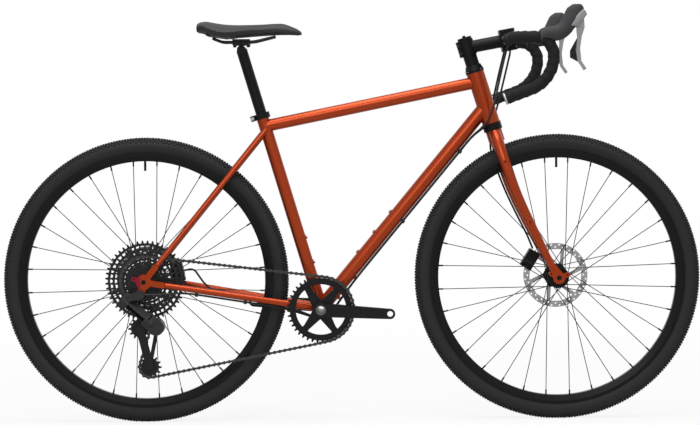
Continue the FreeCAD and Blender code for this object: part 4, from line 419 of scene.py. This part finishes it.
for share in range(1, low_steps + 1):
    angle = low_turn * share / low_steps
    line.append(Vector((low_x + low_radius * math.cos(angle), half_width,
                        drop_z - low_radius * math.sin(angle))))
tail = line[-1]
end_way = Vector((-math.cos(end_slope), 0, -math.sin(end_slope)))
for share in range(1, end_steps + 1):
    line.append(tail + end_way * (end_length * share / end_steps))
around = 28
travel = 0.0
normal = Vector((0, 0, 1))
winding = bmesh.new()
rings = []
for index, point in enumerate(line):
    ahead = (line[min(index + 1, len(line) - 1)] - line[max(index - 1, 0)]).normalized()
    if index:
        travel += (point - line[index - 1]).length
        normal = previous.rotation_difference(ahead) @ normal
    previous = ahead
    side_way = ahead.cross(normal)
    ring = []
    for step in range(around):
        angle = 2 * math.pi * step / around
        turn_share = (travel / wrap_pitch + step / around) % 1.0
        lap = 0.0 if travel < band_length else wrap_lap * min(1.0, turn_share * lap_rise)
        radius = bar_radius + tape_depth - wrap_lap + lap
        out = normal * math.cos(angle) + side_way * math.sin(angle)
        ring.append(winding.verts.new(point + out * radius))
    rings.append(ring)
for ring, following in zip(rings, rings[1:]):
    for step in range(around):
        after = (step + 1) % around
        winding.faces.new((ring[step], ring[after], following[after], following[step]))
winding.faces.new(rings[0])
winding.faces.new(list(reversed(rings[-1])))
bmesh.ops.recalc_face_normals(winding, faces=winding.faces)
right = bmesh.ops.duplicate(winding, geom=winding.verts[:] + winding.edges[:] + winding.faces[:])
for element in right["geom"]:
    if isinstance(element, bmesh.types.BMVert):
        element.co.y = -element.co.y
bmesh.ops.recalc_face_normals(winding, faces=winding.faces)
tape_mesh = bpy.data.meshes.new("bar_tape_winding")
winding.to_mesh(tape_mesh)
winding.free()
tape = plain_piece("bar_tape_winding", tape_mesh)
smooth(tape)
tape_mesh.materials.append(tape_cork)
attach(tape, "steering")
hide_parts("bar_tape")

# Bar end plugs
# Moulded plastic caps in pale grey, pushed into the bar over the tucked end of the tape.
plug_grey = surface("pale_moulded_plug", 0x9A9A9A, 0xBEBEBE, 1.0, (0.3, 0.45), 0.02, Metallic=0.3)
coat(plug_grey, "bar_plugs")

# Brake hoods
# Moulded rubber covers drawn over the lever bodies, rounded everywhere and finely textured.
# The CAD form is remeshed and smoothed, so its edges turn over as rubber does.
hood_rubber = surface("textured_hood_rubber", 0x303032, 0x3E3E40, 1.2, (0.6, 0.75), 0.2,
                      Specular_IOR_Level=0.2)
hood_voxel = 1.4 * mm
hood_fill = 0.5 * mm
rounding_factor = 0.5
rounding_passes = 8
for hand in ("right", "left"):
    hood = copied("hood_" + hand, "hood_cover_" + hand)
    remesh = hood.modifiers.new("remesh", "REMESH")
    remesh.mode = "VOXEL"
    remesh.voxel_size = hood_voxel
    rounding = hood.modifiers.new("rounding", "SMOOTH")
    rounding.factor = rounding_factor
    rounding.iterations = rounding_passes
    fill = hood.modifiers.new("fill", "DISPLACE")
    fill.strength = hood_fill
    fill.mid_level = 0.0
    settled(hood)
    smooth(hood)
    hood.data.materials.append(hood_rubber)
    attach(hood, "steering")
    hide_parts("hood_" + hand)

# Lever side covers
# Painted alloy plates that close the lever body where the hood's rubber ends, one outside each hood.
cover_corners = ((517.9, 964.2), (522.0, 972.0), (552.0, 1001.0), (558.0, 999.0), (562.0, 989.4),
                 (541.0, 960.4))
cover_inner = 9.0 * mm
cover_outer = 15.8 * mm
cover_edge = 1.2 * mm
edge_steps = 3
silver_paint = surface("silver_grey_lacquer", 0x77777A, 0x8F8F92, 1.0, (0.3, 0.4), 0.01,
                       Metallic=0.7, Coat_Weight=0.3)
for hand, side in (("right", -1), ("left", 1)):
    plate = bmesh.new()
    faces = []
    for depth in (cover_inner, cover_outer):
        faces.append([plate.verts.new((x * mm, side * (half_width + depth), z * mm))
                      for x, z in cover_corners])
    plate.faces.new(faces[0])
    plate.faces.new(faces[1])
    for step in range(len(cover_corners)):
        after = (step + 1) % len(cover_corners)
        plate.faces.new((faces[0][step], faces[0][after], faces[1][after], faces[1][step]))
    bmesh.ops.recalc_face_normals(plate, faces=plate.faces)
    plate_mesh = bpy.data.meshes.new("lever_cover_" + hand)
    plate.to_mesh(plate_mesh)
    plate.free()
    cover = plain_piece("lever_cover_" + hand, plate_mesh)
    edge = cover.modifiers.new("edge", "BEVEL")
    edge.width = cover_edge
    edge.segments = edge_steps
    settled(cover)
    smooth(cover)
    cover.data.materials.append(silver_paint)
    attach(cover, "steering")

# Brake levers
# Forged aluminium blades, brushed and anodised silver grey.
# The brushing is drawn as a fine even grain.
brushed_lever = surface("brushed_grey_lever", 0x7C7C7F, 0x98989B, 1.0, (0.28, 0.4), 0.01, Metallic=0.9)
coat(brushed_lever, "brake_lever_right", "brake_lever_left")

# Saddle cover
# Black synthetic leather drawn tight over foam and glued under the shell, with a fine pebbled grain.
# The foam is swollen by a short cloth run from a slightly smaller start, held to a small movement.
leather = surface("black_saddle_leather", 0x1C1C1E, 0x28282A, 1.6, (0.5, 0.66), 0.25, Specular_IOR_Level=0.3)
saddle_voxel = 4.0 * mm
saddle_shrink = 1.2 * mm
swell_cap = 2.5 * mm
swell_frames = 20
swell_pressure = 4
saddle = copied("saddle_cover", "saddle_padding")
remesh = saddle.modifiers.new("remesh", "REMESH")
remesh.mode = "VOXEL"
remesh.voxel_size = saddle_voxel
draw_in = saddle.modifiers.new("draw_in", "DISPLACE")
draw_in.strength = -saddle_shrink
draw_in.mid_level = 0.0
settled(saddle)
start = [vertex.co.copy() for vertex in saddle.data.vertices]
cloth = saddle.modifiers.new("foam", "CLOTH")
cloth.settings.use_pressure = True
cloth.settings.uniform_pressure_force = swell_pressure
cloth.settings.effector_weights.gravity = 0
for step in range(1, swell_frames + 1):
    bpy.context.scene.frame_set(step)
settled(saddle)
for vertex, before in zip(saddle.data.vertices, start):
    moved = vertex.co - before
    if moved.length > swell_cap:
        vertex.co = before + moved * (swell_cap / moved.length)
bpy.context.scene.frame_set(1)
finer = saddle.modifiers.new("finer", "SUBSURF")
finer.levels = 1
finer.render_levels = 1
settled(saddle)
smooth(saddle)
saddle.data.materials.clear()
saddle.data.materials.append(leather)
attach(saddle, "seatpost")
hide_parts("saddle_cover")

# Floor, light and camera
# A pale studio floor that runs into a white backdrop, lit from above and in front by soft boxes.
floor_size = 14.0
paper_roughness = 0.9
shadow_reach = 0.7
white_reach = 2.4
shadow_white_share = 0.86
sky_strength = 0.32
floor_mesh = bpy.data.meshes.new("studio_floor")
half = floor_size / 2
corners = [(-half, -half, 0), (half, -half, 0), (half, half, 0), (-half, half, 0)]
floor_mesh.from_pydata(corners, [], [(0, 1, 2, 3)])
floor = plain_piece("studio_floor", floor_mesh)
floor_finish = bpy.data.materials.new("pale_studio_paper")
floor_finish.use_nodes = True
tree = floor_finish.node_tree
paper = tree.nodes["Principled BSDF"]
paper.inputs["Base Color"].default_value = colour(0xF2F2F2)
paper.inputs["Roughness"].default_value = paper_roughness
ray = add(tree, "ShaderNodeLightPath")
place = add(tree, "ShaderNodeTexCoord")
far = add(tree, "ShaderNodeVectorMath", None, {0: place.outputs["Object"]}, operation="LENGTH")
fade = add(tree, "ShaderNodeMapRange",
           {"From Min": shadow_reach, "From Max": white_reach, "To Min": shadow_white_share, "To Max": 1.0},
           {"Value": far.outputs["Value"]})
share = add(tree, "ShaderNodeMath", None, {0: ray.outputs["Is Camera Ray"], 1: fade.outputs["Result"]},
            operation="MULTIPLY")
white = add(tree, "ShaderNodeEmission", {"Color": colour(0xFFFFFF), "Strength": 1.0})
blend = add(tree, "ShaderNodeMixShader", None,
            {0: share.outputs[0], 1: paper.outputs[0], 2: white.outputs[0]})
tree.links.new(blend.outputs[0], tree.nodes["Material Output"].inputs["Surface"])
floor_mesh.materials.append(floor_finish)

world = bpy.data.worlds.new("studio")
bpy.context.scene.world = world
world.use_nodes = True
tree = world.node_tree
sky = tree.nodes["Background"]
sky.inputs["Color"].default_value = colour(0xFFFFFF)
sky.inputs["Strength"].default_value = sky_strength
ray = add(tree, "ShaderNodeLightPath")
seen = add(tree, "ShaderNodeMath", None, {0: ray.outputs["Is Camera Ray"], 1: ray.outputs["Is Glossy Ray"]},
           operation="MAXIMUM")
seen_any = add(tree, "ShaderNodeMath", None, {0: seen.outputs[0], 1: ray.outputs["Is Transmission Ray"]},
               operation="MAXIMUM")
backdrop = add(tree, "ShaderNodeBackground", {"Color": colour(0xFFFFFF), "Strength": 1.0})
blend = add(tree, "ShaderNodeMixShader", None,
            {0: seen_any.outputs[0], 1: sky.outputs[0], 2: backdrop.outputs[0]})
tree.links.new(blend.outputs[0], tree.nodes["World Output"].inputs["Surface"])

boxes = (("overhead_box", (0.0, -0.6, 3.2), 2.0, 75),
         ("front_box", (-0.8, -4.0, 2.6), 2.0, 45))
lit_point = Vector((0, 0, 0.5))
for name, place, size, power in boxes:
    lamp = bpy.data.lights.new(name, "AREA")
    lamp.size = size
    lamp.energy = power
    box = bpy.data.objects.new(name, lamp)
    box.location = place
    box.rotation_euler = (lit_point - Vector(place)).to_track_quat("-Z", "Y").to_euler()
    bpy.context.scene.collection.objects.link(box)

film_width = 36
lens_length = 108
frame_shift = -42.5 / 700
camera_place = (-0.0005, -5.2, 0.76)
camera_tilt = math.radians(1.541)
camera_roll = math.radians(0.53)
camera_data = bpy.data.cameras.new("studio_camera")
camera_data.sensor_width = film_width
camera_data.lens = lens_length
camera_data.shift_y = frame_shift
camera = bpy.data.objects.new("studio_camera", camera_data)
camera.location = camera_place
camera.rotation_euler = (math.pi / 2 - camera_tilt, camera_roll, 0)
bpy.context.scene.collection.objects.link(camera)
bpy.context.scene.camera = camera
bpy.context.scene.view_settings.view_transform = "Standard"
